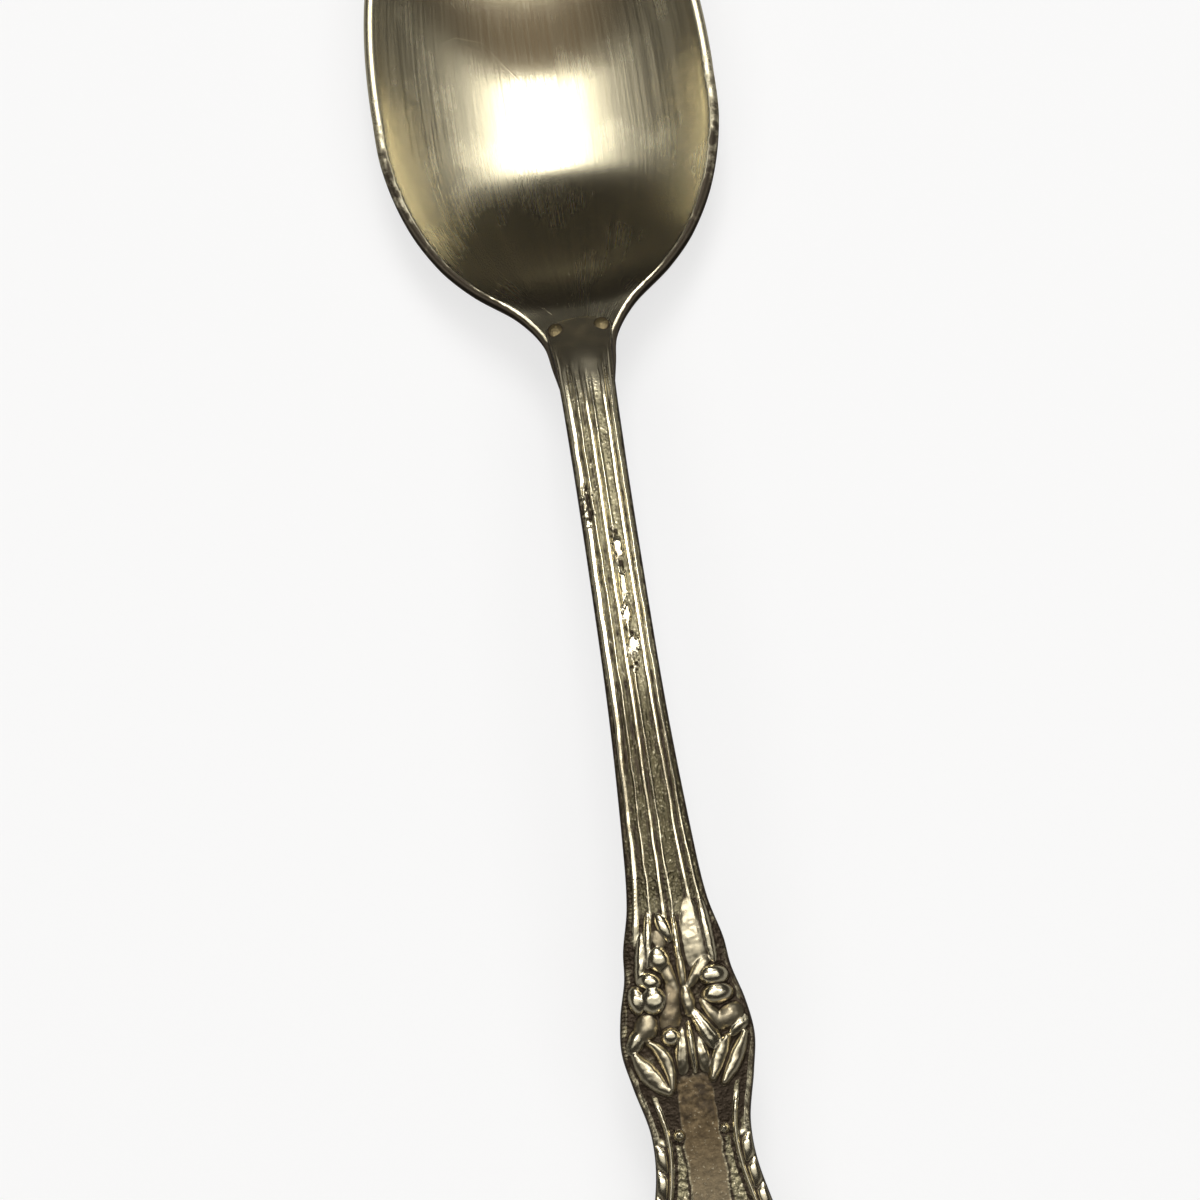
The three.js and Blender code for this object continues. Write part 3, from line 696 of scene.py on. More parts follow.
@dataclass(frozen=True)
class Bowl:
    """The pressed bowl and its tang: an egg-shaped hollow in an even sheet with a rounded lip."""

    lap: Lap
    finish: PolishedBrass = PolishedBrass()
    width: float = 31.8
    widest: float = 27.5
    deepest: float = 27.1
    depth: float = 6.4
    fullness: float = 0.25
    tip_squareness: float = 2.25
    tip_fall: float = 0.8
    wear: float = 0.2
    heel_station: float = 7.6
    heel_blend: float = 0.9
    tang_half_width: float = 2.3
    shoulder: Knots = (
        (-0.11, 0.0), (0.0, 0.042), (0.11, 0.088), (0.22, 0.245), (0.33, 0.515), (0.44, 0.71),
        (0.6, 0.88), (0.8, 0.984), (1.0, 1.0),
    )
    # Painted shade on the lip: darkest over the near half of the bowl, none at the tip, lighter on
    # the outer face
    lip_shade_from: float = 42.0
    lip_shade_full: float = 6.0
    shaded_lip: Spot = (0.04, 0.14)
    lighter_outer_lip: Spot = (0.9, 1.0)
    lighter_outer_share: float = 0.6
    across_points: int = 97
    lip_points: int = 11
    tip_stations: int = 90
    bowl_step: float = 0.35
    slope_step: float = 0.01

    @property
    def half_sheet(self) -> float:
        """Half the sheet's thickness."""
        return self.lap.sheet / 2.0

    @property
    def half_width(self) -> float:
        """Half width of the sheet's middle where the bowl is widest."""
        return self.width / 2.0 - self.half_sheet

    @property
    def tip_length(self) -> float:
        """From the widest station to the tip, at the sheet's middle."""
        return self.lap.bowl_length - self.half_sheet - self.widest

    @property
    def floor_height(self) -> float:
        """Height of the sheet's middle at its deepest place."""
        return self.half_sheet - self.wear

    def outline(self, station: Array) -> Array:
        """Half width of the sheet's middle: shoulder knots to the widest, then a superellipse."""
        tang = self.tang_half_width - self.half_sheet
        flare = tang + (self.half_width - tang) * KnotCurve(self.shoulder)(station / self.widest)
        beyond = np.maximum(station - self.widest, 0.0) / self.tip_length
        tip = rounded_end(self.half_width, beyond, self.tip_squareness)
        return np.where(station > self.widest, tip, flare)

    def rim_line(self, station: Array) -> Array:
        """Height of the rim: the lap plane, a cubic to the widest station, then a straight fall."""
        rim_height = self.floor_height + self.depth
        tip_slope = -self.tip_fall / (self.lap.bowl_length - self.widest)
        start = self.lap.tongue_length
        run = self.widest - start
        s = np.clip((station - start) / run, 0.0, 1.0)
        rise = rim_height - self.lap.line(start)
        bend = (-self.lap.fall * run - rise) * (1.0 - s) - (tip_slope * run - rise) * s
        middle = self.lap.line(start) + rise * s + s * (1.0 - s) * bend
        past = rim_height + tip_slope * (station - self.widest)
        line = np.where(station >= self.widest, past, middle)
        return np.where(station <= start, self.lap.line(station), line)

    def floor_line(self, station: Array) -> Array:
        """Height of the bowl's centre line.

        Args:
            station: Stations to work out.

        Returns:
            A parabola about the deepest station, opened evenly from heel to tip so that it meets
            the lap plane at the heel and the rim at the tip, with the corner at the heel rounded.
        """
        tip = self.lap.bowl_length - self.half_sheet
        to_heel, to_tip = self.deepest - self.heel_station, tip - self.deepest
        at_heel = (self.lap.line(self.heel_station) - self.floor_height) / to_heel**2
        at_tip = (self.rim_line(np.array(tip)) - self.floor_height) / to_tip**2
        beyond = station - self.deepest
        share = (beyond + to_heel) / (to_heel + to_tip)
        parabola = self.floor_height + (at_heel + (at_tip - at_heel) * share) * beyond**2
        heel = soft_minimum(self.lap.line(station), parabola, self.heel_blend)
        return np.where(station > self.deepest, parabola, heel)

    def sheet_height(self, x: Array, station: Array) -> Array:
        """Middle of the sheet: the rim less a hollow, full at the centre and zero at the rim."""
        share = np.clip(1.0 - (x / self.outline(station)) ** 2, 0.0, 1.0)
        hollow = share * (1.0 + self.fullness * (1.0 - share))
        rim = self.rim_line(station)
        return rim - (rim - self.floor_line(station)) * hollow

    def sheet_normal(self, x: Array, station: Array) -> Array:
        """Upward normal of the sheet's middle, from slopes taken towards the bowl's centre."""
        dx = np.where(x > 0.0, -self.slope_step, self.slope_step)
        ds = np.where(station < self.widest, self.slope_step, -self.slope_step)
        here = self.sheet_height(x, station)
        slope_x = (self.sheet_height(x + dx, station) - here) / dx
        slope_y = (self.sheet_height(x, station + ds) - here) / ds
        normal = points(-slope_x, -slope_y, np.ones_like(here))
        return normal / np.linalg.norm(normal, axis=-1, keepdims=True)

    def face(self, share: Array, station: Array, up: float) -> Array:
        """A face of the sheet: its middle moved half the thickness along the normal, up or down."""
        x = share * self.outline(station)
        middle = points(x, station, self.sheet_height(x, station))
        return middle + up * self.half_sheet * self.sheet_normal(x, station)

    def lip(self, side: Side, station: Array, angle: Array) -> Array:
        """The rounded lip: a half circle about the sheet's edge, square to the outline in plan."""
        edge = self.outline(station)
        turned = np.broadcast_to(angle, (len(station), angle.size))[..., None]
        x = side.value * edge
        normal = self.sheet_normal(x, station)
        behind = self.outline(station - self.slope_step)
        towards = np.full_like(edge, side.value * self.slope_step)
        out = points(towards, behind - edge, 0.0)
        out -= np.sum(out * normal, axis=-1, keepdims=True) * normal
        out /= np.linalg.norm(out, axis=-1, keepdims=True)
        middle = points(x, station, self.sheet_height(x, station))
        return middle + self.half_sheet * (normal * np.cos(turned) + out * np.sin(turned))

    def stations(self) -> Array:
        """Stations from the tip to the tang's end, as a column."""
        turn = (np.arange(self.tip_stations) + 0.5) / self.tip_stations
        reach = np.cos(turn * math.pi / 2.0) ** (2.0 / self.tip_squareness)
        tip = self.widest + self.tip_length * reach
        rest = steps(self.widest, -self.lap.tang_length, self.bowl_step)
        return np.r_[tip, rest, -self.lap.tang_length][:, None]

    def loft(self) -> Loft:
        """The bowl's skin: inner face, lip, outer face and lip at each station.

        Returns:
            The loft, with the edge mark of painted shade on the outer part of the near lip.
        """
        station = self.stations()
        across = np.linspace(1.0, -1.0, self.across_points)[None, :]
        angle = np.linspace(0.0, math.pi, self.lip_points + 2)[None, 1:-1]
        rings = np.concatenate(
            [
                self.face(across, station, 1.0),
                self.lip(Side.LEFT, station, angle),
                self.face(-across, station, -1.0),
                self.lip(Side.RIGHT, station, angle[:, ::-1]),
            ],
            axis=1,
        )
        rings[..., 2] = np.maximum(rings[..., 2], 0.0)
        lip_share, inside, left = angle / math.pi, np.zeros_like(across), -np.ones_like(angle)
        round_lip = np.concatenate(
            [inside, lip_share, np.ones_like(across), lip_share[:, ::-1]], axis=1
        )
        side = np.concatenate([across, left, -across, -left], axis=1)
        # Painted shade on the lip over the near half of the bowl, made lighter on the outer face by
        # the next factor
        near = smoothstep(-self.lip_shade_from, -self.lip_shade_full, -station)
        rubbed = 1.0 - self.lighter_outer_share * smoothstep(*self.lighter_outer_lip, round_lip)
        edge = near * smoothstep(*self.shaded_lip, round_lip) * rubbed
        uv = np.stack(np.broadcast_arrays(side * self.half_width, station), axis=-1)
        tip = [0.0, self.lap.bowl_length, float(self.rim_line(np.array(self.lap.bowl_length)))]
        tang = [0.0, -self.lap.tang_length, float(self.lap.line(-self.lap.tang_length))]
        ends = np.array([tip, tang])
        rings[..., 1] += self.lap.neck_y
        ends[:, 1] += self.lap.neck_y
        return Loft("pressed_bowl", rings, ends, uv, {"edge": edge})

    def build(self, effects: Effects) -> bpy.types.Object:
        """Makes the bowl in place of its CAD node and dresses it."""
        piece = self.loft().build()
        piece.data.materials.append(self.finish.material(effects))
        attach(piece, BODY)
        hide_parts("bowl")
        return piece


CREASE_SHARE = 0.3
PETAL_FULLNESS = 0.7
BUD_POWER = 2.7


@dataclass(frozen=True)
class Petal:
    """One swelling of the flower: its place across and along, turn, half sizes and rise."""

    across: float
    along: float
    turn: float
    long: float
    wide: float
    rise: float
    taper: float = 0.0
    crease: float = 0.0
    patina: float = 0.0
    power: float = 2.0

    def relief(self, x: Array, along: Array) -> Array:
        """Height over the ground: a full dome, turned, tapered and creased."""
        turn = math.radians(self.turn)
        dx, ds = x - self.across, along - self.along
        lengthwise = dx * math.sin(turn) - ds * math.cos(turn)
        sideways = dx * math.cos(turn) + ds * math.sin(turn)
        lengthwise = lengthwise / self.long
        sideways = sideways / (self.wide * (1.0 + self.taper * np.clip(lengthwise, -1.0, 1.0)))
        groove = 1.0 - self.crease * dome(sideways / CREASE_SHARE)
        full = dome(np.hypot(lengthwise, sideways), self.power) ** PETAL_FULLNESS
        return self.rise * groove * full


@dataclass(frozen=True)
class Scroll:
    """One scroll leaf under the flower: a round ridge along a curve from start to end."""

    start: Spot
    pull: Spot
    end: Spot
    radius: float
    rise: float
    patina: float = 0.3
    thin: float = 0.6
    swell: float = 0.6
    points: int = 40

    def relief(self, x: Array, along: Array) -> Array:
        """Height over the ground.

        Args:
            x: Places across.
            along: Places along, from the flower's middle.

        Returns:
            A dome of the distance to a quadratic curve, as a share of its swelling radius.
        """
        t = np.linspace(0.0, 1.0, self.points)[:, None]
        start, pull, end = (np.array(spot) for spot in (self.start, self.pull, self.end))
        curve = (1.0 - t) ** 2 * start + 2.0 * t * (1.0 - t) * pull + t**2 * end
        distance = np.full(np.broadcast(x, along).shape, np.inf)
        radius = self.radius * (self.thin + self.swell * np.sin(math.pi * t[:, 0]))
        for spot, reach in zip(curve, radius):
            distance = np.minimum(distance, np.hypot(x - spot[0], along - spot[1]) / reach)
        return self.rise * dome(distance) ** PETAL_FULLNESS


PETALS: dict[str, Petal] = {
    "lower petal, left": Petal(-0.6, -2.1, -8, 2.1, 0.72, 0.65, 0.25, 0.2, 0.3),
    "lower petal, right": Petal(1.05, -2.4, 10, 1.9, 0.7, 0.6, 0.25, 0.2, 0.3),
    "vein": Petal(0.25, -1.9, 0, 2.3, 0.42, 0.85),
    "left petal": Petal(-1.1, 1.7, -12, 3.0, 1.05, 0.55, 0.2, 0.0, 0.85),
    "left petal tip": Petal(-1.42, -0.8, -5, 0.9, 0.9, 1.0, power=BUD_POWER),
    "right petal": Petal(1.65, -0.5, 27, 2.4, 0.85, 0.85, 0.4, 0.2),
    "right petal, upper": Petal(2.5, 0.6, 32, 1.8, 0.7, 0.65, 0.4, 0.0, 0.5),
    "flower eye": Petal(0.5, 2.0, 5, 1.5, 0.65, 0.65, 0.0, 0.0, 0.4),
    "upper sepal, right": Petal(1.7, 4.3, 138, 1.9, 0.65, 0.55, 0.4, 0.0, 0.4),
    "upper sepal, middle": Petal(0.35, 4.6, 180, 1.8, 0.45, 0.55, 0.0, 0.0, 0.4),
    "upper sepal, left": Petal(-0.8, 4.3, -160, 2.2, 0.7, 0.5, 0.4, 0.0, 0.6),
    "bud, right upper": Petal(3.05, 3.85, 84, 1.4, 1.0, 1.05, power=BUD_POWER),
    "bud, right lower": Petal(3.15, 2.3, 92, 1.45, 1.0, 1.0, power=BUD_POWER),
    "bud, left upper": Petal(-2.5, 4.05, 65, 1.1, 0.9, 0.9, power=BUD_POWER),
    "bud, left outer": Petal(-3.85, 2.65, 8, 1.35, 0.85, 0.85, power=BUD_POWER),
    "bud, left inner": Petal(-2.45, 2.45, -12, 1.35, 1.25, 1.1, power=BUD_POWER),
    "curl, left": Petal(-3.4, 0.25, -25, 1.45, 1.1, 0.8, 0.0, 0.0, 0.6),
    "curl, right": Petal(4.0, 0.3, 115, 1.45, 1.1, 0.85, 0.0, 0.0, 0.6),
    "petal, right lower": Petal(4.7, -0.6, 130, 1.4, 0.7, 0.7),
    "petal, left lower": Petal(-4.5, -0.8, -35, 1.4, 0.8, 0.65),
    "leaf, right": Petal(1.8, 7.4, 0, 3.4, 1.2, 0.4, 0.15, 0.15, 0.35),
    "leaf, left": Petal(-1.5, 5.8, 8, 1.3, 1.05, 0.85),
    "leaf, left inner": Petal(-0.6, 8.4, 20, 1.4, 0.65, 0.55),
    "leaf lobe, left": Petal(-1.3, 7.4, 0, 1.1, 0.75, 0.4, 0.0, 0.0, 0.7),
    "leaf edge, right": Petal(3.05, 7.6, 4, 3.2, 0.5, 0.5),
    "leaf streak, left": Petal(-2.2, 7.2, -8, 2.8, 0.46, 0.55),
    "leaf edge, left": Petal(-3.05, 5.7, -10, 2.8, 0.55, 0.55),
    "midrib": Petal(0.3, 6.9, 0, 2.8, 0.34, 0.5),
    "bead, left": Petal(-1.95, -9.2, 0, 0.5, 0.5, 0.6),
    "bead, right": Petal(2.05, -9.1, 0, 0.4, 0.4, 0.4),
}

SCROLLS: tuple[Scroll, ...] = (
    Scroll((-3.3, -1.1), (-1.6, -2.2), (-1.95, -5.2), 0.55, 0.65),
    Scroll((-4.7, -2.0), (-3.9, -3.8), (-2.3, -5.4), 0.75, 0.6),
    Scroll((3.4, -1.5), (2.4, -3.0), (1.7, -4.7), 0.65, 0.65),
    Scroll((5.0, -1.3), (4.0, -3.4), (2.6, -5.2), 0.6, 0.65),
)

SHAPES: tuple[Petal | Scroll, ...] = (*PETALS.values(), *SCROLLS)

REED_ROWS = 40.0
REED_STRAY = 0.022
REED_STRAY_LENGTH = 1.7
REED_UNEVEN = 0.13
REED_UNEVEN_LEAST = 0.2
REED_UNEVEN_LENGTH = 0.9
REED_NARROWING = 0.42
REED_NARROWS = (28.0, 42.0)


@dataclass(frozen=True)
class Reed:
    """One thread of the stem: its place and half width as shares of the half width, and rise."""

    place: float
    half_width: float
    rise: float
    power: float
    start: float

    def relief(self, share: Array, station: Array, fade: float, crown: float) -> Array:
        """Height over the ground: a dome across with its top levelled against the crown.

        Args:
            share: Places across, as shares of the half width.
            station: Stations.
            fade: Length over which the reed rises from its start.
            crown: Fall of the ground from the middle to the edge.

        Returns:
            The reed's height at each place.
        """
        begun = 1.0 - smoothstep(self.start - fade, self.start, station)
        row = REED_ROWS * self.place
        stray = REED_STRAY * value_noise(row, station / REED_STRAY_LENGTH, Seed.REED_STRAY)
        narrowed = smoothstep(*REED_NARROWS, -station)
        dips = 1.0 - value_noise(row, station / REED_UNEVEN_LENGTH, Seed.REED_RISE)
        rise = self.rise * (1.0 - REED_UNEVEN * (REED_UNEVEN_LEAST + narrowed) * dips)
        level = crown * (share**2 - self.place**2)
        wide = self.half_width * (1.0 - REED_NARROWING * narrowed)
        return begun * (rise + level) * dome((share - self.place - stray) / wide, self.power)


REEDS: tuple[Reed, ...] = (
    Reed(-0.75, 0.13, 0.24, 5.0, 2.4),
    Reed(-0.45, 0.08, 0.19, 2.0, 1.0),
    Reed(-0.115, 0.1, 0.23, 4.5, 0.2),
    Reed(0.1, 0.075, 0.17, 2.0, -0.6),
    Reed(0.54, 0.1, 0.23, 4.5, 1.2),
    Reed(0.78, 0.08, 0.19, 2.0, 2.4),
)


FLAW_RAGGEDNESS = 0.38
FLAW_FLATNESS = 5.0


@dataclass(frozen=True)
class Flaw:
    """A flaw of the casting: an oval place with a mean rise and a rough break-up."""

    across: float
    station: float
    half_across: float
    half_along: float
    rise: float
    rough: float

    def relief(self, x: Array, station: Array, crumbs: Array) -> Array:
        """Height over the reeds: a dome of the mean rise and the crumbs."""
        across = (x - self.across) / self.half_across
        along = (station - self.station) / self.half_along
        ragged = np.hypot(across, along) * (1.0 + FLAW_RAGGEDNESS * crumbs)
        return dome(ragged, FLAW_FLATNESS) * (self.rise + self.rough * crumbs)


FLAWS: tuple[Flaw, ...] = (
    Flaw(-1.8, -13.65, 0.6, 1.5, -0.14, 0.12),
    Flaw(0.35, -16.6, 0.35, 0.6, -0.04, 0.2),
    Flaw(0.42, -18.0, 0.45, 1.1, 0.27, 0.012),
    Flaw(0.5, -19.6, 0.35, 0.6, -0.06, 0.2),
    Flaw(0.45, -21.4, 0.36, 1.4, 0.27, 0.012),
    Flaw(0.35, -24.15, 0.5, 0.95, 0.27, 0.016),
    Flaw(0.35, -25.5, 0.42, 0.5, -0.06, 0.2),
    Flaw(0.5, -26.9, 0.66, 0.9, 0.27, 0.018),
    Flaw(0.4, -28.1, 0.5, 0.45, 0.0, 0.14),
    Flaw(0.35, -28.9, 0.42, 0.5, -0.1, 0.2),
)


# Marks of the handle's edge and back, which are plain: the ones not named are 0; the first puts
# painted shade on the rounded edge and a little on the back
BACK_MARKS: dict[str, Spot] = {"recess": (0.75, 0.15), "grain": (1.0, 0.35)}


@dataclass(frozen=True)
class Handle:
    """The cast handle: tongue, reeded stem, flower and scrolls, waist, and a bordered panel."""

    lap: Lap
    finish: CastBrass = CastBrass()
    top_knots: Knots = ((-0.8, 7.6), (-0.62, 13.0), (-0.465, 16.7), (-0.34, 17.1), (-0.205, 15.9))
    thickest: float = -0.29
    end_length: float = 9.5
    end_half_width: float = 8.4
    end_squareness: float = 2.2
    end_thickness: float = 2.4
    end_wear: float = 0.1
    crest_thickness: float = 3.0
    ornament_thickness: float = 2.5
    waist_thickness: float = 2.3
    crown: float = 0.5
    edge_thickness: float = 1.1
    edge_round: float = 0.16
    back_round: float = 2.2
    square_run: float = 12.0
    tongue_half_width: float = 2.62
    tongue_squareness: float = 2.25
    cover_at_tang: float = 1.6
    cover_at_neck: float = 1.75
    cover_at_tip: float = 0.4
    stem_widths: Knots = (
        (-73.5, 4.74), (-69.0, 4.39), (-64.5, 5.35), (-61.5, 5.86), (-58.5, 5.5), (-55.5, 4.7),
        (-53.0, 4.4), (-49.5, 3.55), (-45.0, 3.12), (-33.0, 2.58), (-20.0, 2.42), (-8.0, 2.44),
    )
    reed_end: float = -51.0
    reed_fade: float = 4.5
    reed_tail: float = 2.6
    ornament_station: float = -60.0
    ornament_reach: float = 14.0
    merge_power: float = 6.0
    border_start: float = -65.0
    border_fade: float = 3.0
    fillet_inset: float = 1.4
    fillet_radius: float = 0.26
    fillet_rise: float = 0.36
    lobe_start: float = -69.0
    lobe_pitch: float = 2.25
    lobe_phase: float = 0.17
    lobe_slant: float = 0.8
    lobe_rise: float = 0.5
    tick_start: float = 46.5
    tick_end: float = 62.5
    tick_pitch: float = 0.34
    tick_width: float = 0.9
    tick_fade: float = 1.0
    tick_rise: float = 0.1
    edge_band_start: float = -54.0
    edge_band_width: float = 0.7
    edge_band_rise: float = 0.3
    panel_top: float = -64.6
    panel_half_width: float = 1.5
    panel_arch: float = 1.4
    panel_recess: float = 0.32
    panel_roundness: float = 2.0
    panel_clear: float = 1.0
    panel_step: float = 0.3
    panel_stray: float = 0.14
    panel_stray_length: float = 0.9
    panel_rows: float = 3.0
    panel_stray_fade: Spot = (71.0, 78.0)
    panel_shade: float = 0.45
    panel_shaded: Spot = (1.0, 8.5)
    panel_polish: float = 0.75
    panel_painted_light: float = 0.15
    panel_painted_light_span: Spot = (69.0, 76.0)
    flower_start: Spot = (-70.0, -67.5)
    flower_end: Spot = (-52.0, -49.0)
    flower_ground_shade: float = 0.75
    flower_ground_shade_below: float = 0.25
    ground_rise: Spot = (0.02, 0.14)
    flank_start: float = 0.07
    flank_least: float = 0.3
    flank_share: float = 0.17
    flank_shade: float = 0.75
    neck_smooth: Spot = (-5.0, -0.5)
    neck_polish: float = 0.97
    upper_stem: Spot = (-34.0, -28.0)
    upper_less_shade: float = 0.4
    lower_end: Spot = (-52.0, -48.0)
    lower_shade: float = 0.15
    lower_brown_shade: float = 0.2
    crumb_seen: Spot = (0.03, 0.1)
    crumb_rim: Spot = (0.005, 0.03)
    pit_shade: float = 0.9
    crumb_rim_shadow: float = 0.8
    noise_turn: Spot = (0.8, 0.6)
    ripple: float = 0.014
    ripple_size: float = 0.7
    hammer: float = 0.04
    hammer_size: float = 0.6
    fine_blows: float = 0.5
    fine_share: float = 2.0
    crumb_size: float = 0.26
    stipple: float = 0.12
    stipple_size: float = 0.2
    stipple_ground: float = 0.1
    stipple_share: Spot = (0.3, 0.9)
    stipple_start: Spot = (67.5, 69.5)
    stipple_flower: float = 0.6
    stipple_lower: float = 0.5
    stipple_lower_start: Spot = (30.0, 34.0)
    rim_fade: float = 0.4
    top_points: int = 113
    edge_points: int = 4
    back_points: int = 11
    hollow_reach: float = 0.42
    hollow_depth: float = 0.17
    hollow_looks: int = 8
    step_face: float = 0.05
    end_cut: float = 0.985
    tongue_stations: int = 24
    tongue_step: float = 0.25
    stem_steps: Knots = ((-12.0, 0.35), (-30.0, 0.14), (-47.0, 0.26), (-70.0, 0.08))
    panel_spacing: float = 0.15
    end_stations: int = 48

    @property
    def end_start(self) -> float:
        """Station where the rounded end starts."""
        return self.end_length - self.lap.handle_length

    @property
    def tang_end(self) -> float:
        """Station of the step that clears the end of the bowl's tang."""
        return -self.lap.tang_length - self.lap.clearance

    def half_width(self, station: Array) -> Array:
        """Half width in plan: knots along the stem, and a superellipse at each end."""
        lap = self.lap
        start = (self.end_start, self.end_half_width)
        tongue_knots = (0.0, self.tongue_half_width), (lap.rivet_station, lap.tongue_widest)
        stem = KnotCurve((start, *self.stem_widths, *tongue_knots))(station)
        share = np.maximum(self.end_start - station, 0.0) / self.end_length
        end = rounded_end(self.end_half_width, share, self.end_squareness)
        tip_length = lap.tongue_length - lap.rivet_station
        share = np.maximum(station - lap.rivet_station, 0.0) / tip_length
        tongue = rounded_end(lap.tongue_widest, share, self.tongue_squareness)
        stem = np.where(station > lap.rivet_station, tongue, stem)
        return np.where(station < self.end_start, end, stem)

    def top_line(self, station: Array) -> Array:
        """Top in side view, by knots from the end over the crest to the tongue."""
        lap = self.lap

        def cover(place: float, height: float) -> tuple[float, float]:
            return place, float(lap.top(place)) + lap.clearance + height

        line = KnotCurve(
            (
                (-lap.handle_length, self.end_thickness - self.end_wear),
                *((share * lap.handle_length, height) for share, height in self.top_knots),
                cover(-lap.tang_length, self.cover_at_tang),
                cover(0.0, self.cover_at_neck),
                cover(lap.tongue_length, self.cover_at_tip),
            )
        )
        return line(station)

    def thickness(self, station: Array) -> Array:
        """Thickness at the centre line, by knots from the end to the tang."""
        lap = self.lap
        return KnotCurve(
            (
                (-lap.handle_length, self.end_thickness),
                (self.lobe_start, self.waist_thickness),
                (self.ornament_station, self.ornament_thickness),
                (self.thickest * lap.handle_length, self.crest_thickness),
                (-lap.tang_length, self.cover_at_tang + lap.clearance + lap.sheet * lap.stretch),
            )
        )(station)

    def border_place(self, x: Array, station: Array) -> tuple[Array, Array]:
        """Distance in from the outline, and distance along it from the side round to the end."""
        beyond = np.maximum(self.end_start - station, 0.0) / self.end_length
        across = np.abs(x) / self.end_half_width
        power = self.end_squareness
        reach = (across**power + beyond**power) ** (1.0 / power)
        turn = np.arctan2(beyond, across)
        straight = station >= self.end_start
        beside = self.half_width(station) - np.abs(x)
        inset = np.where(straight, beside, (1.0 - reach) * self.end_half_width)
        along = np.where(straight, -station, -self.end_start + turn * self.end_half_width)
        return inset, along

    def reeds(self, x: Array, station: Array) -> Array:
        """Three pairs of threads, a flat one and a thin round one, faded at both ends."""
        share = x / self.half_width(station)
        kept = smoothstep(self.reed_end - self.reed_tail, self.reed_end, station)
        reeds = [reed.relief(share, station, self.reed_fade, self.crown) for reed in REEDS]
        return kept * np.maximum(np.max(reeds, axis=0), 0.0)

    def ornament(self, x: Array, station: Array) -> tuple[Array, Array]:
        """The petals and scrolls, each by itself.

        Args:
            x: Places across.
            station: Stations.

        Returns:
            Whether the flower reaches each station, and every shape's height at those.
        """
        along = station - self.ornament_station
        rows = np.abs(along[:, 0]) < self.ornament_reach
        return rows, np.stack([shape.relief(x[rows], along[rows]) for shape in SHAPES])

    def flower(self, x: Array, station: Array) -> Array:
        """The shapes merged where they meet: a root of the sum of powers of their heights."""
        rows, heights = self.ornament(x, station)
        merged = np.zeros_like(x)
        merged[rows] = np.sum(heights**self.merge_power, axis=0) ** (1.0 / self.merge_power)
        return merged

    def patina(self, x: Array, station: Array) -> Array:
        """Brown patina of the flower: each shape's own, where it is the highest."""
        rows, heights = self.ornament(x, station)
        own = np.array([shape.patina for shape in SHAPES])[heights.argmax(axis=0)]
        shade = np.zeros_like(x)
        shade[rows] = np.where(heights.max(axis=0) > 0.0, own, 0.0)
        return shade

    def ticks(self, x: Array, station: Array) -> Array:
        """Fine ticks across the left edge beside the flower."""
        beside = smoothstep(-self.tick_width, 0.0, -x - self.half_width(station))
        start, end, fade = -self.tick_start, -self.tick_end, self.tick_fade
        begun = 1.0 - smoothstep(start - fade, start, station)
        shown = smoothstep(end, end + fade, station) * begun
        return self.tick_rise * beside * shown * np.cos(2.0 * math.pi * station / self.tick_pitch)

    def border(self, x: Array, station: Array) -> Array:
        """A fillet inside the outline, slanted lobes outside it, and a band by the flower."""
        inset, along = self.border_place(x, station)
        shown = smoothstep(-self.border_start, -self.border_start + self.border_fade, along)
        fillet = self.fillet_rise * shown * dome((inset - self.fillet_inset) / self.fillet_radius)
        lobes = smoothstep(-self.lobe_start, -self.lobe_start + self.border_fade / 2.0, along)
        phase = (along - self.lobe_slant * inset) / self.lobe_pitch + self.lobe_phase
        middle = (self.fillet_inset - self.fillet_radius) / 2.0
        swell = round_dome(2.0 * (phase - np.floor(phase)) - 1.0)
        swell = swell * round_dome((inset - middle) / middle)
        start = -self.edge_band_start
        banded = smoothstep(start, start + self.border_fade, along) * (1.0 - lobes)
        band = self.edge_band_rise * banded * dome(inset / self.edge_band_width)
        return np.maximum(np.maximum(fillet, self.lobe_rise * lobes * swell), band)

    def panel_wander(self, x: Array, station: Array) -> Array:
        """How far each side of the panel strays from its straight line."""
        kept = 1.0 - smoothstep(*self.panel_stray_fade, -station)
        row = self.panel_rows * np.sign(x)
        stray = value_noise(row, station / self.panel_stray_length, Seed.PANEL)
        return self.panel_stray * kept * stray

    def panel(self, x: Array, station: Array) -> Array:
        """The sunk ground beside the plain panel, which starts in an arch under the flower."""
        inset, _ = self.border_place(x, station)
        below = self.panel_top - station
        share = 1.0 - np.clip(below / self.panel_arch, 0.0, 1.0)
        half = rounded_end(self.panel_half_width, share, self.panel_roundness)
        half = half + self.panel_wander(x, station)
        beside = smoothstep(0.0, self.panel_step, np.abs(x) - half)
        depth = beside * smoothstep(self.fillet_inset, self.fillet_inset + self.panel_step, inset)
        return -self.panel_recess * depth * smoothstep(-self.panel_arch, 0.0, below)

    def relief(self, x: Array, station: Array) -> Array:
        """Height of the ornament over the plain crowned top."""
        parts = self.reeds(x, station), self.flower(x, station), self.border(x, station)
        raised = np.maximum.reduce(parts)
        return np.where(raised > 0.0, raised, self.panel(x, station))

    def hollows(self, x: Array, station: Array, relief: Array) -> Array:
        """How far each place lies under its surroundings.

        Args:
            x: Places across.
            station: Stations.
            relief: Relief at those places.

        Returns:
            The mean relief on a small circle about each place, less the relief there, as a share.
        """
        around = np.zeros_like(relief)
        for turn in np.arange(self.hollow_looks) * (2.0 * math.pi / self.hollow_looks):
            dx, ds = self.hollow_reach * math.cos(turn), self.hollow_reach * math.sin(turn)
            around += self.relief(x + dx, station + ds)
        return (around / self.hollow_looks - relief) / self.hollow_depth

